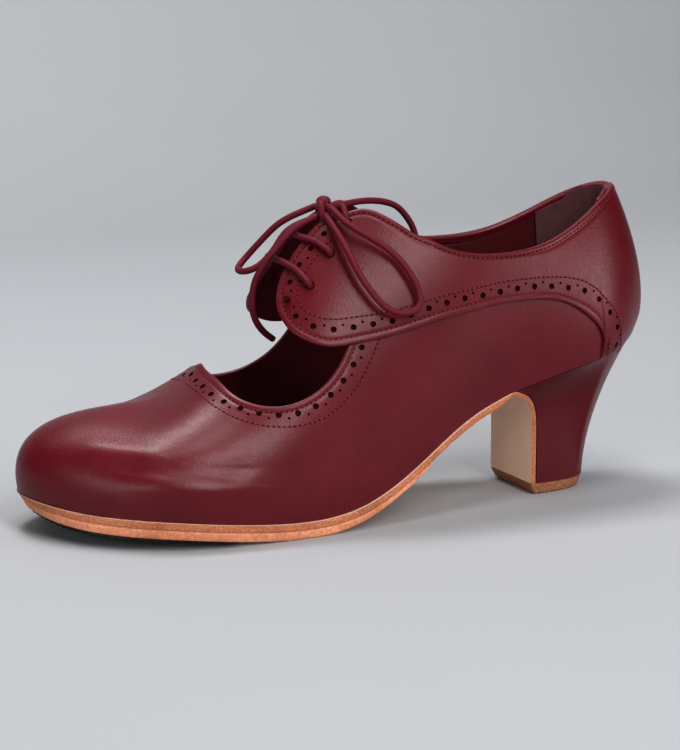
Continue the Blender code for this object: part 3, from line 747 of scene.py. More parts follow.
def lace_braid():
    """Waxed cotton: two crossing sets of strands on the cord's own map, across and along in millimetres."""
    made, tree, shader, place = new_finish("lace_braid", 0.6)
    shader.inputs["Specular IOR Level"].default_value = 0.3
    heights = []
    for lean in (0.45, -0.45):
        turned = node(tree, "Mapping", "Vector", {"Rotation": (0.0, 0.0, lean)}, place.outputs["UV"])
        wave = tree.nodes.new("ShaderNodeTexWave")
        wave.bands_direction = "Y"
        wave.inputs["Scale"].default_value = 0.42
        wave.inputs["Distortion"].default_value = 0.6
        wave.inputs["Detail"].default_value = 1.0
        tree.links.new(turned, wave.inputs["Vector"])
        heights.append(wave.outputs["Fac"])
    plait = tree.nodes.new("ShaderNodeMath")
    plait.operation = "MAXIMUM"
    tree.links.new(heights[0], plait.inputs[0])
    tree.links.new(heights[1], plait.inputs[1])
    # Colour follows the plait's height: darker in the grooves between strands as painted shade, lighter on
    # their crests as painted light.
    paint(tree, shader, plait.outputs["Value"],
          ((0.2, (0.070, 0.0030, 0.0090)), (0.8, (0.160, 0.0090, 0.0260))))
    relief(tree, shader, (
        (plait.outputs["Value"], 0.5, 0.15),
        (noise(tree, place.outputs["Object"], 2500.0), 0.3, 0.05),
    ))
    return made


def studio_paper():
    return mottled("studio_paper", 0.85, (2.0,), (0.405, 0.413, 0.430), (0.425, 0.433, 0.450))[0]


BURGUNDY = calf_leather(
    "burgundy_calf", (0.104, 0.0024, 0.0076), (0.120, 0.0032, 0.0100), (0.142, 0.0054, 0.0138), 0.42)
COVER = calf_leather(
    "heel_cover_calf", (0.092, 0.0022, 0.0062), (0.108, 0.0030, 0.0082), (0.128, 0.0048, 0.0112), 0.40)
LINING = lining_leather()
SUEDE = grip_suede()
# Dark colour on the walls and floors of punched holes: painted shade for the holes' depth.
PUNCH_SHADE = painted_hole_shade("punched_hole_painted_shade", (0.036, 0.0024, 0.0048), (0.056, 0.0038, 0.0076))
# Dark colour of the dots at needle holes: painted shade for the holes' depth.
NEEDLE_DOT_SHADE = painted_hole_shade("needle_hole_painted_shade", (0.062, 0.0024, 0.0056), (0.088, 0.0036, 0.0082))
THREAD = sewing_thread()
SOLE_EDGE = cut_sole_leather(
    "cut_outsole", (0.40, 0.138, 0.066), (0.53, 0.205, 0.102), (0.68, 0.37, 0.24), 1500.0)
HALF_EDGE = cut_sole_leather(
    "cut_half_sole", (0.58, 0.235, 0.130), (0.72, 0.315, 0.185), (0.80, 0.44, 0.29), 900.0)
LIFT_EDGE = cut_sole_leather(
    "cut_lift", (0.21, 0.080, 0.039), (0.38, 0.172, 0.084), (0.52, 0.28, 0.16), 1400.0)
SOLE_FACE = sole_face_leather()
NAIL_SHADE_METAL = nail_metal_painted_shade()
BRAID = lace_braid()


# Camera.
def add_camera():
    lens = bpy.data.cameras.new("photo_camera")
    lens.sensor_width = 36.0
    lens.lens = VIEW_LENS
    camera = add_object("photo_camera", lens)
    back = Vector((
        math.sin(VIEW_TURN) * math.cos(VIEW_RISE),
        math.cos(VIEW_TURN) * math.cos(VIEW_RISE),
        math.sin(VIEW_RISE),
    ))
    camera.location = Vector(row_frame(VIEW_TARGET)) + back * VIEW_DISTANCE * MM
    camera.rotation_euler = (-back).to_track_quat("-Z", "Y").to_euler()
    bpy.context.scene.camera = camera


# Laces.
def tube_places(line, radius, around=12):
    """Points round a line of points, with a rounded cut at each end; the radius may change along it."""
    radius = np.broadcast_to(radius, len(line))
    ahead = unit(np.gradient(line, axis=0))
    across = np.cross(ahead[0], [0.3, 0.2, 1.0])
    turns = np.linspace(0, 2 * np.pi, around + 1)
    rings = []
    for i, direction in enumerate(ahead):
        across = unit(across - direction * (across @ direction))
        up = np.cross(direction, across)
        rings.append((line[i], np.cos(turns)[:, None] * across + np.sin(turns)[:, None] * up))
    places = []
    for back, share in CORD_END:
        places.append(rings[0][0] + (rings[0][1] * share - ahead[0] * back) * radius[0])
    places += [middle + ring * size for (middle, ring), size in zip(rings, radius)]
    for back, share in CORD_END[::-1]:
        places.append(rings[-1][0] + (rings[-1][1] * share + ahead[-1] * back) * radius[-1])
    return np.stack(places, 1)


def tube_mesh(line, radius):
    """A round cord; its map is millimetres across and along."""
    mesh = sheet_mesh(tube_places(line, radius))
    length = distances(line)[-1]
    for corner in mesh.uv_layers["UVMap"].data:
        corner.uv = (corner.uv[0] * 2 * math.pi * LACE_RADIUS, corner.uv[1] * length)
    return mesh


def add_bow():
    made = {}
    for name, route in BOW_ROUTES.items():
        line = smooth_line(route, 90)
        piece_name = name.replace("bow_", "lace_")
        made[name] = add_piece(piece_name, tube_mesh(line, LACE_RADIUS), [BRAID], [name])
    knot = add_knot()
    for name, piece in made.items():
        path = row_frame(smooth_line(BOW_ROUTES[name], 38))


def joined_mesh(meshes):
    work = bmesh.new()
    for mesh in meshes:
        work.from_mesh(mesh)
    return mesh_of(work, "joined")


def add_knot():
    """The tied middle: a round turn on top, a broad turn down the front, and the strands inside it."""
    middle = np.array(KNOT_MIDDLE)
    to_view = np.array([math.sin(VIEW_TURN), math.cos(VIEW_TURN), 0.0])
    sideways = np.array([math.cos(VIEW_TURN), -math.sin(VIEW_TURN), 0.0])
    turns = np.radians(np.linspace(-100, 260, 44))[:, None]
    lean = 0.9 * np.sin(turns)
    ahead = 1.7 + 3.5 * np.cos(turns)
    wrap = middle - [0, 0, 1.6] + np.sin(turns) * [0, 0, 4.8] + ahead * to_view + (lean + 0.2) * sideways
    across = np.linspace(-1, 1, 15)
    ball = middle + [0, 0, 3.2] + across[:, None] * 2.35 * sideways + (2.2 - across[:, None] ** 2) * to_view
    first = smooth_line([middle + sideways * 2.6 + [0, 0, 0.6], middle + to_view * 0.4 + [0, 0, 1.0],
                         middle - sideways * 2.6 + [0, 0, 1.2]], 14)
    second = smooth_line([middle + sideways * 2.6 - [0, 0, 2.0], middle - to_view * 0.6 - [0, 0, 1.6],
                          middle - sideways * 2.0 - [0, 0, 1.4]], 14)
    strands = [(wrap, 1.45), (ball, 0.15 + 1.85 * np.sqrt(1 - across**2)), (first, 1.4), (second, 1.4)]
    mesh = joined_mesh([tube_mesh(line, radius) for line, radius in strands])
    return add_piece("tied_knot", mesh, [BRAID], ["bow_knot"])


def add_bars():
    """Lace bars: up through one eyelet, across the lacing gap and down through the other."""
    for (name, rows), eyelet in zip(BAR_ROWS.items(), EYELETS):
        rows = np.array(rows)
        lift = np.full(len(rows), QUARTER_STEP + LACE_RADIUS + BAR_CLEAR)
        lift[0] = QUARTER_STEP + BAR_ENTRY
        ends = np.array([eyelet, eyelet])
        sides = []
        for side in (1, -1):
            bar = over_last(side, rows[:, 0], rows[:, 1], lift)
            dip = over_last(side, ends[:, 0], ends[:, 1], np.array(BAR_DEPTHS))
            sides.append(np.concatenate([dip, bar]))
        middle = (sides[0][-1:] + sides[1][-1:]) / 2 + BAR_DIPS.get(name, (0.0, 0.0, 0.0))
        line = smooth_line(np.concatenate([sides[0], middle, sides[1][::-1]]), 70)
        piece_name = name.replace("lace_", "laced_")
        add_piece(piece_name, tube_mesh(line, LACE_RADIUS), [BRAID], [name])


# Leather pieces laid over the last.
def even_line(flat, count):
    """The same pattern line, with points evenly spread on the last."""
    fine = smooth_line(flat, 700)
    along = distances(on_last(fine, 0.0))
    want = np.linspace(0, along[-1], count)
    return along_line(want, along, fine)


def pattern(rows, side=1):
    rows = np.array(rows)
    return to_flat(side, rows[:, 0], rows[:, 1])


def pattern_rows(edge, target, near, beyond):
    """Pattern points from an edge towards a target: at distances on the last, then at shares of the rest."""
    steps = np.linspace(0, 1, 41)
    lines = edge[:, None] + (target - edge)[:, None] * steps[:, None]
    places = on_last(lines, 0.0)
    along = np.concatenate(
        [np.zeros((len(edge), 1)), np.cumsum(np.linalg.norm(np.diff(places, axis=1), axis=2), 1)], 1)
    whole = along[:, -1:]
    ahead = np.gradient(places[:, 0], axis=0)
    inward = places[:, 5] - places[:, 0]
    size = np.linalg.norm(ahead, axis=1) * np.linalg.norm(inward, axis=1)
    sine = np.linalg.norm(np.cross(ahead, inward), axis=1) / np.maximum(size, 1e-9)
    near = np.broadcast_to(near, (len(edge), np.shape(near)[-1])) / np.maximum(sine, 0.4)[:, None]
    near = near * np.minimum(1.0, 0.85 * whole / np.maximum(near[:, -1:], 1e-6))
    want = np.concatenate([near, near[:, -1:] + (whole - near[:, -1:]) * np.asarray(beyond)], 1)
    share = np.stack([np.interp(w, a, steps) for w, a in zip(want, along)])
    return edge[:, None] + (target - edge)[:, None] * share[..., None]


def lowered(rows, drop):
    """An edge moved down its own wall by a few millimetres."""
    rows = np.array(rows, float)
    up = np.linalg.norm(last_slopes(1, rows[:, 0], rows[:, 1])[1], axis=1)
    rows[:, 1] -= np.asarray(drop) / up
    return rows


def mirrored(line):
    """A line down the outer side and back up the inner side; the shared end is kept once."""
    return np.concatenate([line, line[-2::-1] * [1, -1]])


ROUND_STEPS = np.radians([0, 25, 50, 70, 90, 110, 130, 155, 180])


def edge_rim(edge, target, radius, low, high):
    """Pattern points and heights of a rounded edge, from its outer to its inner face."""
    crest = len(ROUND_STEPS) // 2
    upright = np.cos(ROUND_STEPS)
    away = radius * (1 - np.sqrt(np.sin(ROUND_STEPS)))
    half = pattern_rows(edge, target, np.maximum(away, 1e-4)[:crest + 1], [])
    rim = np.concatenate([half, half[:, crest - 1::-1]], 1)
    middle, reach = (high + low) / 2, (high - low) / 2
    return rim, middle[:, None] + reach[:, None] * np.sign(upright) * np.sqrt(np.abs(upright))


def folded_swell(away):
    """Height that a folded and stitched edge adds: a bead, then the pull of the seam."""
    bead = 0.06 * hill(away - 0.9, 0.6)
    seam = -0.20 * hill(away - EDGE_STITCH, 0.5)
    return bead + seam


# Soft troughs and ridges of the worn vamp: height, width, and where they run in the last frame.
CREASES = (
    (0.75, 4.4, ((225, 15, 33.3), (215, 22.7, 32.8), (206, 29.5, 31.8), (198, 35, 30.5))),
    (-0.85, 4.4, ((217, 26, 28.8), (207, 33, 28.2), (199.5, 37, 27.6), (186, 41, 26.8), (168, 42.5, 26.6))),
    (0.75, 4.2, ((212, 32.5, 24.6), (200, 39, 23.2), (186, 42.4, 21.4), (162, 43, 20.6))),
    (-0.6, 4.5, ((196, -28, 34), (186, -34, 28), (176, -37, 22))),
    (0.4, 4.0, ((204, -26, 32), (195, -33, 27), (186, -37, 21))),
)
CREASE_POINTS = 24


def crease_lift(places):
    """Height of the listed creases at points of the vamp."""
    flat_places = places.reshape(-1, 3)
    lift = np.zeros(len(flat_places))
    for height, width, route in CREASES:
        line = smooth_line(route, CREASE_POINTS)
        gap = np.linalg.norm(flat_places[:, None] - line[None], axis=2)
        nearest = gap.argmin(1) / (CREASE_POINTS - 1)
        fade = np.clip(np.minimum(nearest, 1 - nearest) * 5 + 0.25, 0, 1)
        lift += height * fade * hill(gap.min(1), width)
    return lift.reshape(places.shape[:-1])


NEAR_OUTER = np.array([1.0, 1.4, 1.8, 2.2, 2.6, 3.0, 3.5, 4.2, 5.2, 6.5, 8.0, 10.0])
NEAR_INNER = np.array([1.2, 2.4, 3.2, 3.6, 5.0, 8.0])


def vamp_pattern(columns=190):
    """Edge and sole line of the vamp and lining, column by column, starting at the throat."""
    drop = from_table(LINING_DROP, np.array(COLLAR_EDGE)[:, 0])
    upper = even_line(pattern(np.concatenate([VAMP_EDGE, lowered(COLLAR_EDGE, drop)])), columns)
    ring = from_table(VAMP_HANG, from_flat(upper)[1])
    lower = to_flat(1, ring, np.zeros(columns))
    return SimpleNamespace(upper=upper, lower=lower, edge=mirrored(upper), sole=mirrored(lower))


VAMP = vamp_pattern()


def throat_flare(flat):
    """Height by which the vamp's tongue-shaped peak stands off the last at the throat."""
    peak = on_last(VAMP.edge[:1], 0.0)
    gap = np.linalg.norm(on_last(flat, 0.0) - peak[0], axis=-1)
    return THROAT_FLARE * hill(gap, THROAT_REACH)


def vamp_mesh():
    shares = np.linspace(0, 1, 46)[1:]
    outer = pattern_rows(VAMP.edge, VAMP.sole, NEAR_OUTER, shares)
    inner = pattern_rows(VAMP.edge, VAMP.sole, NEAR_INNER, np.linspace(0, 1, 12)[1:])
    count = len(VAMP.edge)
    rim, rim_lift = edge_rim(VAMP.edge, VAMP.sole, VAMP_RIM, np.full(count, -WALL), np.zeros(count))
    swell = np.zeros(outer.shape[1])
    swell[:len(NEAR_OUTER)] = folded_swell(NEAR_OUTER)
    fade = np.ones(outer.shape[1])
    fade[:len(NEAR_OUTER)] = np.clip((NEAR_OUTER - 1) / 6, 0, 1)
    fade[-6:] = (0.9, 0.8, 0.6, 0.4, 0.2, 0.0)
    outer_lift = swell + crease_lift(on_last(outer, 0.0)) * fade + throat_flare(outer)
    rim_lift = rim_lift + throat_flare(rim)
    flat = np.concatenate([outer[:, ::-1], rim, inner, outer[:, -1:]], 1)
    lift = np.concatenate(
        [outer_lift[:, ::-1], rim_lift, throat_flare(inner) - WALL, np.zeros((count, 1))], 1)
    turn = outer.shape[1] + 6
    return sheet_mesh(on_last(flat, lift), lambda row: 1 if row > turn else 0)


def quarter_pattern(columns=210):
    """The quarter and flap as a leaf: a lower and an upper edge that meet at the flap's tip, and a spine."""
    heel_seat = np.stack([np.linspace(0.149, 0.0, 9), np.zeros(9)], -1)[1:]
    lower = np.concatenate([QUARTER_EDGE[FLAP_TIP::-1], heel_seat])
    upper = np.array(QUARTER_EDGE[FLAP_TIP:] + COLLAR_EDGE)
    low_half = even_line(pattern(lower), columns)
    high_half = even_line(pattern(upper), columns)
    spine_line = even_line(pattern(QUARTER_SPINE), 300)
    places = np.linspace(0, 1, 300)
    reach = [
        places[np.linalg.norm(half[:, None] - spine_line[None], axis=2).argmin(1)]
        for half in (low_half, high_half)
    ]
    place = np.minimum.accumulate((reach[0] + reach[1]) / 2)
    place = place * np.clip((columns - 1 - np.arange(columns)) / 6, 0, 1)
    spine_half = along_line(place, places, spine_line)
    high = mirrored(high_half)
    return SimpleNamespace(
        low_half=low_half, high_half=high_half, spine_half=spine_half,
        low=mirrored(low_half), high=high, spine=mirrored(spine_half),
        flap_share=np.clip((from_flat(high)[1] - 0.40) / 0.05, 0, 1),
    )


QUARTER = quarter_pattern()


def quarter_mesh():
    leaf = QUARTER
    count = len(leaf.low)
    flap = leaf.flap_share
    low_flap = np.clip((from_flat(leaf.low)[1] - 0.47) / 0.06, 0, 1)
    shares = np.linspace(0, 1, 10)[1:]
    under_high = between(LEAF_GAP, -FLAP_UNDER, flap)
    under_low = between(LEAF_GAP, -FLAP_UNDER, low_flap)
    fold_high = between(-WALL - COLLAR_FOLD, -FLAP_UNDER, flap)
    seat = np.clip(1 - from_flat(leaf.low)[2] / 0.03, 0, 1)
    parts = []
    lifts = []
    for edge, under, fold, radius, tuck in (
        (leaf.high, under_high, fold_high, COLLAR_RIM, 0 * seat),
        (leaf.low, under_low, under_low, QUARTER_RIM, seat),
    ):
        outer = pattern_rows(edge, leaf.spine, NEAR_OUTER, shares)
        inner = pattern_rows(edge, leaf.spine, NEAR_INNER, shares)
        rim, rim_lift = edge_rim(edge, leaf.spine, radius, fold, QUARTER_STEP - SEAT_TUCK * tuck)
        outer_lift = np.full(outer.shape[:2], QUARTER_STEP)
        outer_lift[:, :len(NEAR_OUTER)] += folded_swell(NEAR_OUTER) * (1 - tuck[:, None])
        outer_lift[:, :len(NEAR_OUTER)] -= SEAT_TUCK * hill(NEAR_OUTER, SEAT_REACH) * tuck[:, None]
        near = np.concatenate([NEAR_INNER, np.full(len(shares), np.inf)])
        inner_lift = np.where(near < HEM_WIDTH, fold[:, None], under[:, None])
        parts.append((outer, rim, inner))
        lifts.append((outer_lift, rim_lift, inner_lift))
    middle = (under_high + under_low)[:, None] / 2
    for _, _, inner_lift in lifts:
        fade = np.linspace(0, 1, len(shares))
        inner_lift[:, -len(shares):] += (middle - inner_lift[:, -1:]) * fade
    (high_outer, high_rim, high_inner), (low_outer, low_rim, low_inner) = parts
    (high_up, high_turn, high_down), (low_up, low_turn, low_down) = lifts
    flat = np.concatenate(
        [high_outer[:, ::-1], high_rim, high_inner, low_inner[:, -2::-1], low_rim[:, ::-1], low_outer], 1)
    lift = np.concatenate(
        [high_up[:, ::-1], high_turn, high_down, low_down[:, -2::-1], low_turn[:, ::-1], low_up], 1)
    start = high_outer.shape[1] + 6 + 4
    end = high_outer.shape[1] + len(ROUND_STEPS) + high_inner.shape[1] + low_inner.shape[1] - 1
    return sheet_mesh(on_last(flat, lift), lambda row: 1 if start < row < end else 0)


# Punched and stitched rows.
def spaced(line, pitch, start, stop):
    """Points and directions along a flat line, at equal steps on the last."""
    places = on_last(line, 0.0)
    along = distances(places)
    stop = along[-1] if stop is None else stop
    steps = max(int(round((stop - start) / pitch)), 1)
    want = np.linspace(start, stop, steps + 1)
    return along_line(want, along, line), along_line(want, along, np.gradient(places, axis=0))


def offset_line(edge, target, away):
    """A pattern line at a distance from an edge, measured square to it on the last, towards a target."""
    ahead = np.gradient(on_last(edge, 0.0), axis=0)
    if abs(edge[0, 1]) < 1e-6:
        ahead[0] *= [0, 1, 0]
    away = np.broadcast_to(away, len(edge))
    points = edge.copy()
    steps, small = 6, 0.05
    for _ in range(steps):
        here = on_last(points, 0.0)
        slopes = [(on_last(points + shift, 0.0) - here) / small for shift in ((small, 0), (0, small))]
        inward = np.cross(np.cross(*slopes), ahead)
        inward /= np.maximum(np.linalg.norm(inward, axis=1, keepdims=True), 1e-9)
        step = (np.linalg.pinv(np.stack(slopes, -1), rcond=0.05) @ inward[..., None])[..., 0]
        towards = np.sign(np.sum(step * (target - edge)))
        points = points + towards * step * away[:, None] / steps
    return np.stack([points[:, 0], np.maximum(points[:, 1], 0)], -1)


def band_line(edge, target, band, extra=0.0):
    """A pattern line at the band's distance from an edge, plus extra."""
    along = distances(on_last(edge, 0.0))
    return offset_line(edge, target, from_table(band, along) + extra)


def vamp_rows():
    """The vamp's edge from the throat back to where the flap covers it, on the outer side."""
    along = distances(on_last(VAMP.upper, 0.0))
    keep = along < VAMP_ROWS
    return VAMP.upper[keep], VAMP.lower[keep]


def flap_top():
    """The column of the quarter's upper edge where the flap's top ends."""
    return np.flatnonzero(from_flat(QUARTER.high_half)[1] > FLAP_TOP_RING)[-1]


def quarter_rows():
    """The quarter's edge from the heel seat round the flap to the flap's top, on the outer side."""
    leaf = QUARTER
    seat = np.flatnonzero(from_flat(leaf.low_half)[2] > 0.004)[-1]
    top = flap_top()
    edge = np.concatenate([leaf.low_half[seat::-1], leaf.high_half[1:top]])
    spine = np.concatenate([leaf.spine_half[seat::-1], leaf.spine_half[1:top]])
    return edge, spine


def collar_rows():
    leaf = QUARTER
    top = flap_top()
    return leaf.high_half[top:], leaf.spine_half[top:]


def on_both_sides(points, ahead):
    """The same marks on the outer and the inner side, with the ahead directions worked out anew."""
    other = points * [1, -1]
    small = 0.05
    flat_ahead = np.gradient(points, axis=0)
    flat_ahead /= np.maximum(np.linalg.norm(flat_ahead, axis=1, keepdims=True), 1e-9)
    ahead_other = on_last(other + small * flat_ahead * [1, -1], 0.0) - on_last(other, 0.0)
    return np.concatenate([points, other]), np.concatenate([ahead, ahead_other])


def punch_marks(edge, target, band, start, stop):
    """Big holes and the pinholes midway between them: flat points and radii."""
    hole_line = band_line(edge, target, band)
    pin_line = band_line(edge, target, band, PINHOLE_OFFSET)
    along = distances(on_last(hole_line, 0.0))
    stop = along[-1] if stop is None else stop
    want = np.linspace(start, stop, max(int(round((stop - start) / HOLE_PITCH)), 1) + 1)
    midway = (want[:-1] + want[1:]) / 2
    big = along_line(want, along, hole_line)
    pins = along_line(midway, along, pin_line)
    points = np.concatenate([big, pins])
    radii = np.concatenate([np.full(len(big), HOLE_RADIUS), np.full(len(pins), PINHOLE_RADIUS)])
    return np.concatenate([points, points * [1, -1]]), np.concatenate([radii, radii])


def punch(mesh, points, radii, low, high):
    """Cuts round holes along the last's normals; their walls and floors take the third finish, a dark colour
    of painted shade for the inside of the holes.
    """
    work = bmesh.new()
    middle = on_last(points, (low + high) / 2)
    up = normal_on_last(points)
    for place, normal, radius, bottom, top in zip(middle, up, radii, low, high):
        turn = Vector(normal).to_track_quat("Z", "Y").to_matrix().to_4x4()
        where = Matrix.Translation(row_frame(place)) @ turn
        bmesh.ops.create_cone(
            work, cap_ends=True, cap_tris=False, segments=14, radius1=radius * MM,
            radius2=radius * MM, depth=(top - bottom) * MM, matrix=where)
    for face in work.faces:
        face.material_index = 2
    tool_mesh = mesh_of(work, "punch")
    tool = add_object("punch", tool_mesh)
    target = add_object("punched", mesh)
    change = target.modifiers.new("punch", "BOOLEAN")
    change.operation = "DIFFERENCE"
    change.solver = "EXACT"
    change.material_mode = "INDEX"
    change.object = tool
    for finish in (BURGUNDY, LINING, PUNCH_SHADE):
        mesh.materials.append(finish)
        tool_mesh.materials.append(finish)
    bpy.context.view_layer.update()
    drawn = target.evaluated_get(bpy.context.evaluated_depsgraph_get())
    cut = bpy.data.meshes.new_from_object(drawn)
    for helper in (tool, target):
        bpy.data.objects.remove(helper, do_unlink=True)
    return cut


def needle_template(work):
    """A small round bead for the dark dots of painted shade at needle holes, for threads and for nail heads.
    """
    bmesh.ops.create_uvsphere(work, u_segments=8, v_segments=4, radius=1.0)


# Under holes go the frames of the dark dots of painted shade at needle holes.
STITCH_ROWS = {"threads": [], "holes": []}


def stitch(points, ahead, height):
    """A row of stitches: a short thread, and at each end of it a dark dot of painted shade for the needle
    hole.
    """
    up = normal_on_last(points)
    places = on_last(points, height)
    for i in range(len(points)):
        STITCH_ROWS["holes"].append(frame_at(places[i] - 0.02 * up[i], ahead[i], up[i], NEEDLE_SHADE_DOT))
    middle = (places[:-1] + places[1:]) / 2
    along = places[1:] - places[:-1]
    for i in range(len(middle)):
        if np.linalg.norm(along[i]) > 2 * STITCH_PITCH:
            continue
        STITCH_ROWS["threads"].append(
            frame_at(middle[i] + 0.05 * up[i], along[i], up[i], THREAD_SIZE))


def stitch_row(line, start, stop, height):
    points, ahead = spaced(line, STITCH_PITCH, start, stop)
    both, both_ahead = on_both_sides(points, ahead)
    stitch(both, both_ahead, height)


def add_stitches():
    template = template_of(needle_template)
    # Dark beads at the needle holes: painted shade, not cut holes.
    holes = joined_copies(template, STITCH_ROWS["holes"])
    add_piece("needle_shade_dots", holes, [NEEDLE_DOT_SHADE])
    threads = joined_copies(template, STITCH_ROWS["threads"])
    add_piece("stitches", threads, [THREAD])


def add_upper():
    edge, target = vamp_rows()
    points, radii = punch_marks(edge, target, VAMP_BAND, 0.0, VAMP_COVERED)
    # The hole on the ridge belongs to both sides and is cut once.
    keep = np.ones(len(points), bool)
    keep[len(points) // 2] = False
    depth = np.where(radii > PINHOLE_RADIUS, *VAMP_HOLE_FLOORS)
    top = np.full(keep.sum(), VAMP_CUTTER_TOP)
    vamp = punch(vamp_mesh(), points[keep], radii[keep], depth[keep], top)
    add_piece("vamp", vamp, [BURGUNDY, LINING, PUNCH_SHADE], ["upper"])
    stitch_row(offset_line(edge, target, EDGE_STITCH - 0.2), 0.0, VAMP_EDGE_ROW, -0.18)
    stitch_row(band_line(edge, target, VAMP_STITCH), 0.0, VAMP_BAND_ROW, 0.0)

    edge, spine = quarter_rows()
    points, radii = punch_marks(edge, spine, QUARTER_BAND, HEEL_ROW_START + 3, None)
    depth = np.where(radii > PINHOLE_RADIUS, *QUARTER_HOLE_FLOORS)
    eyes = np.concatenate([pattern(EYELETS, 1), pattern(EYELETS, -1)])
    points = np.concatenate([points, eyes])
    radii = np.concatenate([radii, np.full(len(eyes), EYELET_RADIUS)])
    depth = np.concatenate([depth, np.full(len(eyes), EYELET_FLOOR)])
    quarters = punch(quarter_mesh(), points, radii, depth, np.full(len(points), QUARTER_CUTTER_TOP))
    add_piece("quarters", quarters, [BURGUNDY, LINING, PUNCH_SHADE])
    stitch_row(offset_line(edge, spine, EDGE_STITCH), HEEL_ROW_START, None, QUARTER_STEP - 0.2)
    stitch_row(band_line(edge, spine, QUARTER_STITCH), HEEL_ROW_START, None, QUARTER_STEP)
    edge, spine = collar_rows()
    stitch_row(offset_line(edge, spine, COLLAR_STITCH), 0.0, None, QUARTER_STEP - 0.05)
    add_stitches()


# Sole, heel and lift.
def toe_tuck(ring):
    return TOE_TUCK * eased(ring, *TOE_TUCK_RINGS)


def toe_pull(ring):
    return TOE_PULL * eased(ring, TOE_PULL_RING, 1)


def tread_height(ring):
    """Height of the half sole's tread, which lies flat on the floor under the ball."""
    x = section(np.ones(len(ring)), ring, "x")
    return np.maximum(edge_height(ring) - from_table(SOLE_ROWS, x), 0.0)


def strap_mesh(ring, out, out_low, top, bottom, corner=0.35):
    """A sole layer of rounded sections across the shoe: edges in the first finish, faces in the second."""
    rows = []
    places = [(1, level) for level in range(6)] + [(-1, level) for level in range(5, -1, -1)]
    inward = np.array([corner, 0.0, 0.0, 0.0, 0.0, corner])
    thick = top - bottom
    for side, level in places:
        drop = (0.0 * thick, np.minimum(corner, thick / 4), thick * 0.4, thick * 0.7,
                thick - np.minimum(corner, thick / 4), thick)[level]
        plan = rim_point(side, ring, out + (out_low - out) * drop / thick - inward[level])
        rows.append(np.concatenate([plan, (top - drop)[:, None]], 1))
    rows.append(rows[0])
    places = np.stack(rows, 1)
    middle = places[:1] * [1, 0.02, 1] + places[:1].mean(1, keepdims=True) * [0, 0.98, 0]
    places = np.concatenate([middle, places])
    return sheet_mesh(places, lambda row: 1 if 5 < row < 6 or row > 11 else 0)


def outsole_mesh():
    """Outsole from the toe over the arch, then down the breast of the heel as a thinner flap."""
    ring = np.concatenate([np.linspace(1, 0.93, 24), np.linspace(0.925, 0.285, 90)])
    top = edge_height(ring) - SEAM_GAP
    out = SOLE_OUT - toe_pull(ring)
    out_low = out - TOE_TUCK_MIDDLE * toe_tuck(ring)
    edge, low = (
        [np.concatenate([rim_point(side, ring, reach), height[:, None]], 1) for side in (1, -1)]
        for reach, height in ((out, top), (out_low, top - OUTSOLE_THICK))
    )
    levels_down = np.concatenate([np.linspace(0, 0.36, 19), np.linspace(0.4, 1, 13)])
    breast = [heel_side(side, 0.0, levels_down) for side in (1, -1)]
    backs, fronts = [[], []], [[], []]
    for i in range(len(levels_down)):
        before, after = max(i - 1, 0), min(i + 1, len(levels_down) - 1)
        for k, line in enumerate(breast):
            ahead = line[after] - line[before]
            face = unit(np.array([-ahead[2], 0, ahead[0]]))
            face = face if face[0] > 0 else -face
            if i == 0:
                face = np.array([0.62, 0, -0.78])
            if after == i:
                face = np.array([1.0, 0, 0])
            back = line[i] + BREAST_FLAP_GAP * face
            backs[k].append(back)
            fronts[k].append(back + BREAST_FLAP_THICK * face)
    count = 230
    rails = []
    for k in (0, 1):
        rails.append(smooth_line(np.concatenate([edge[k], backs[k]]), count))
        rails.append(smooth_line(np.concatenate([low[k], fronts[k]]), count))
    outer_top, outer_low, inner_top, inner_low = rails
    tucked = [(0.005, 0.0), (0.0, 0.12), (0.0, 0.4), (0.0, 0.7), (0.0, 0.93), (0.002, 1.0)]
    lines = []
    for inward, down in tucked:
        outer, inner = between(outer_top, outer_low, down), between(inner_top, inner_low, down)
        lines.append(between(outer, inner, inward))
    for inward, down in tucked[::-1]:
        outer, inner = between(outer_top, outer_low, down), between(inner_top, inner_low, down)
        lines.append(between(inner, outer, inward))
    lines.append(lines[0])
    places = np.stack(lines, 1)
    end = places[-1:]
    places = np.concatenate([places, end.mean(1, keepdims=True) + (end - end.mean(1, keepdims=True)) * 0.02])
    return sheet_mesh(places, lambda row: 1 if 5 < row < 6 or row > 11 else 0)


def half_sole_mesh():
    ring = np.concatenate([np.linspace(HALF_SOLE_RING, 0.92, 80), np.linspace(0.925, 1, 24)])
    top = edge_height(ring) - SEAM_GAP - OUTSOLE_THICK - LAYER_GAP
    tuck = toe_tuck(ring)
    out = SOLE_OUT - toe_pull(ring)
    out_low = out - HALF_SOLE_TUCK * tuck
    return strap_mesh(ring, out - TOE_TUCK_MIDDLE * tuck, out_low, top, tread_height(ring), 0.15)


def plate_thick(ring):
    """The nailed layer is worn thin at its back end."""
    return TOE_PLATE_THICK * from_table(PLATE_WEAR, ring)


def plate_out(ring):
    return SOLE_OUT - TOE_PLATE_IN - toe_tuck(ring) - toe_pull(ring)


def toe_plate_mesh():
    ring = np.concatenate([np.linspace(TOE_PLATE_RING, 0.92, 40), np.linspace(0.925, 1, 24)])
    top = tread_height(ring) - 2 * LAYER_GAP
    out = plate_out(ring)
    return strap_mesh(ring, out, out, top, top - plate_thick(ring), 0.2)


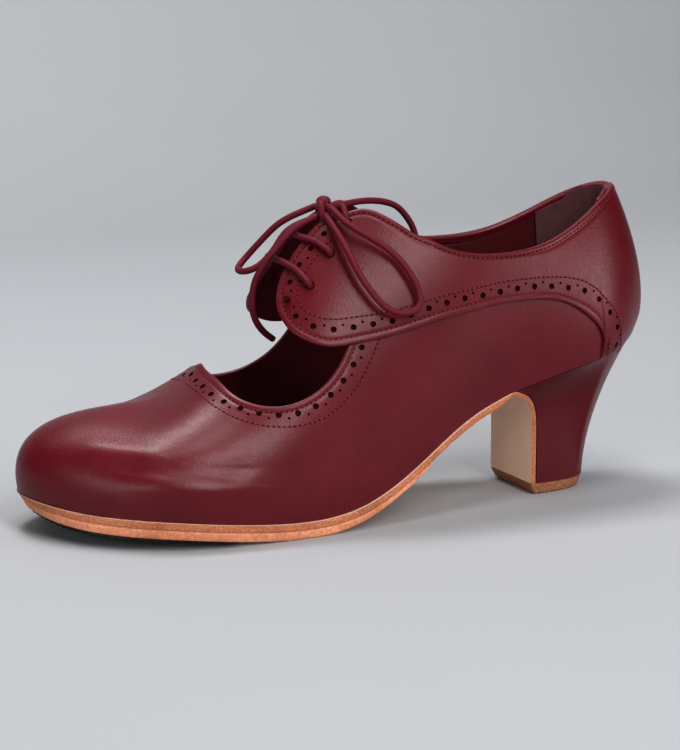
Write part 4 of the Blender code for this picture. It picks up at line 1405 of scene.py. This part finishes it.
def add_nails():
    """Close rows of domed nail heads under the toe plate, from its edge inwards."""
    frames = []
    ahead = np.array([1.0, 0, 0])
    down = np.array([0, 0, -1.0])
    ring = np.linspace(TOE_PLATE_RING + 0.008, 0.985, 200)
    centre = section(np.ones(len(ring)), ring, "ridge_y") - 1.0
    height = tread_height(ring) - LAYER_GAP - plate_thick(ring)
    for inward in np.arange(1.0, 40.0, NAIL_PITCH):
        for side in (1, -1):
            plan = rim_point(side, ring, plate_out(ring) - inward)
            keep = (plan[:, 1] - centre) * side > 0.8
            if keep.sum() < 4:
                continue
            line = np.concatenate([plan, height[:, None]], 1)[keep]
            along = distances(line)
            for place in along_line(np.arange(0.4, along[-1], NAIL_PITCH), along, line):
                frames.append(frame_at(place, ahead, down, NAIL_SIZE))
    mesh = joined_copies(template_of(needle_template), frames)
    add_piece("nail_heads", mesh, [NAIL_SHADE_METAL], smooth=60)


def heel_mesh():
    """Covered heel: closed rings from the seat to the lift, with a thin turned edge at the seat."""
    places = np.linspace(0, 1, 49)
    seat_edge = (0.0, 0.012, 0.03, 0.05)
    levels_down = np.concatenate([seat_edge, np.linspace(0.07, 0.4, 14), np.linspace(0.45, 1, 14)])
    rows = []
    for down in levels_down:
        outer, inner = (heel_side(side, places, down) for side in (1, -1))
        rows.append(np.concatenate([outer, inner[-2::-1], outer[:1]]))
    rings = np.stack(rows, 1)
    middle = rings.mean(0, keepdims=True)
    seat = rings[:, :1] * [0.94, 0.94, 1] + middle[:, :1] * [0.06, 0.06, 0]
    seat_flat = np.concatenate([(rings[:, :1] + rings[::-1][:, :1]) / 2, seat], 1)
    foot = middle[:, -1:] + (rings[:, -1:] - middle[:, -1:]) * 0.02
    return sheet_mesh(np.concatenate([seat_flat, rings, foot], 1))


def lift_mesh():
    """Top lift: stacked raw leather with worn, rounded corners."""
    places = np.linspace(0, 1, 41)
    outer, inner = (heel_side(side, places, 1.0, HEEL_FRONT_X) for side in (1, -1))
    line = np.concatenate([outer, inner[-2::-1]])
    front = np.linspace(inner[0], outer[0], 14)[1:]
    ring = np.concatenate([line, front])
    middle = ring.mean(0)
    profile = ((0.0, 0.02), (0.0, 0.9), (0.0, 0.975), (0.25, 0.992), (0.8, 1.0), (1.9, 1.0), (3.0, 1.0),
               (3.8, 0.997), (4.1, 0.985), (LIFT_THICK, 0.96), (LIFT_THICK, 0.02))
    tread = np.array(LIFT_TREAD)
    rows = []
    for height, share in profile:
        row = middle + (ring - middle) * (tread + (1 - tread) * height / LIFT_THICK) * share
        row[:, 2] = height
        rows.append(row)
    return sheet_mesh(np.stack(rows, 1), lambda row: 1 if row < 1 else 0)


def add_sole():
    add_piece("leather_outsole", outsole_mesh(), [SOLE_EDGE, SOLE_FACE], ["outsole"], 50)
    add_piece(
        "leather_half_sole", half_sole_mesh(), [HALF_EDGE, SOLE_FACE], ["half_sole"], 50)
    add_piece("toe_plating", toe_plate_mesh(), [NAIL_SHADE_METAL, NAIL_SHADE_METAL], ["toe_plate"], 50)
    add_nails()
    add_piece("covered_heel", heel_mesh(), [COVER], ["heel_block"], 50)
    add_piece("leather_lift", lift_mesh(), [LIFT_EDGE, SOLE_FACE], ["top_lift"], 50)


# Inside.
GRIP_RING = 0.153
GRIP_FOLD_RING = 0.104
GRIP_FOLD = 1.0
GRIP_LOW = 0.07


def grip_mesh():
    """Suede heel grip inside the counter; round the back its leather is folded over the collar's edge."""
    half = np.linspace(GRIP_RING, 0.0, 60)
    rounds = np.concatenate([half, half[-2::-1]])
    sides = np.concatenate([np.ones(60), -np.ones(59)])
    top = from_table(COLLAR_EDGE[::-1], rounds)
    millimetre = 1 / np.linalg.norm(last_slopes(sides, rounds, top)[1], axis=1)
    folded = np.clip((GRIP_FOLD_RING - rounds) / 0.004, 0, 1)
    inner_top = top - 1.2 * millimetre * (1 - folded)
    crest = inner_top + GRIP_FOLD * millimetre * folded
    rows = [(between(GRIP_LOW, inner_top, share), -WALL - 1.0 + 0 * top) for share in np.linspace(0, 1, 18)]
    for turn in np.radians(np.linspace(20, 160, 8)):
        over = -WALL - 0.6 - 0.4 * np.cos(turn) + folded * (0.5 - 0.5 * np.cos(turn))
        rows.append((inner_top + (crest - inner_top) * np.sin(turn), over))
    rows.append((inner_top - 0.3 * millimetre, -WALL - 0.2 + folded))
    back_top = inner_top - 0.5 * millimetre
    rows += [(between(GRIP_LOW, back_top, share), -WALL - 0.2 + 0 * top) for share in (0.97, 0.5, 0)]
    rows.append(rows[0])
    lines = [over_last(sides, rounds, rise, lift) for rise, lift in rows]
    return sheet_mesh(np.stack(lines, 1), lambda row: 1 if 18 < row < 27 else 0)


def dress_insole():
    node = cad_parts["insole"]
    node.data.materials.clear()
    node.data.materials.append(LINING)


# Studio, in metres.
FLOOR_FRONT = 1.6
FLOOR_LENGTH = 2.4
FLOOR_DROP = 0.0002
BEND_LENGTH = 0.8
BEND_RADIUS = 0.51
SHEET_LENGTH = 4.6
SHEET_HALF = 3.0
# Soft lights: place, target, width and height, watts.
LIGHTS = {
    "key_softbox": ((-0.11, 1.06, 0.84), (0.0, 0.0, 0.05), (0.32, 0.80), 10.5),
    "right_softbox": ((-0.99, 0.80, 0.28), (0.0, 0.0, 0.05), (0.60, 0.36), 5.5),
    "left_softbox": ((1.02, 0.78, 0.34), (0.0, 0.0, 0.03), (0.9, 0.5), 5.5),
    "top_softbox": ((0.14, -0.28, 1.31), (0.0, 0.0, 0.0), (0.45, 0.36), 9.4),
    "front_softbox": ((0.05, 0.38, 1.28), (0.0, 0.0, 0.0), (0.45, 0.36), 5.0),
    "backdrop_softbox": ((0.0, -0.45, 1.35), (0.0, -1.31, 0.6), (2.6, 0.3), 15.5),
}
AIR_COLOUR = (0.62, 0.65, 0.69, 1.0)
AIR_STRENGTH = 0.09
VIEW_GAMMA = 0.8


def add_studio():
    """A paper sheet that bends up behind the shoe, with soft lights and dim air."""
    floor_back = FLOOR_FRONT - FLOOR_LENGTH
    bend_end = FLOOR_LENGTH + BEND_LENGTH
    work = bmesh.new()
    bmesh.ops.create_grid(work, x_segments=4, y_segments=60, size=1.0)
    for vertex in work.verts:
        across = vertex.co.x * SHEET_HALF
        reach = (1 - vertex.co.y) / 2 * SHEET_LENGTH
        if reach < FLOOR_LENGTH:
            vertex.co = (across, FLOOR_FRONT - reach, -FLOOR_DROP)
        elif reach < bend_end:
            turn = (reach - FLOOR_LENGTH) / BEND_LENGTH * math.pi / 2
            back = floor_back - BEND_RADIUS * math.sin(turn)
            vertex.co = (across, back, BEND_RADIUS * (1 - math.cos(turn)) - FLOOR_DROP)
        else:
            vertex.co = (across, floor_back - BEND_RADIUS, BEND_RADIUS + reach - bend_end)
    bmesh.ops.recalc_face_normals(work, faces=work.faces)
    mesh = mesh_of(work, "backdrop")
    mesh.materials.append(studio_paper())
    mesh.shade_smooth()
    backdrop = add_object("backdrop", mesh)

    for name, (place, target, size, power) in LIGHTS.items():
        light = bpy.data.lights.new(name, "AREA")
        light.shape = "RECTANGLE"
        light.size, light.size_y = size
        light.energy = power
        made = add_object(name, light)
        made.location = place
        made.rotation_euler = (Vector(target) - Vector(place)).to_track_quat("-Z", "Y").to_euler()

    world = bpy.data.worlds.new("studio_air")
    world.use_nodes = True
    air = world.node_tree.nodes["Background"].inputs
    air["Color"].default_value = AIR_COLOUR
    air["Strength"].default_value = AIR_STRENGTH
    bpy.context.scene.world = world
    bpy.context.scene.view_settings.view_transform = "Standard"
    bpy.context.scene.view_settings.gamma = VIEW_GAMMA


add_camera()
add_bow()
add_bars()
add_upper()
add_sole()
add_piece("heel_grip", grip_mesh(), [SUEDE, BURGUNDY])
dress_insole()
add_studio()
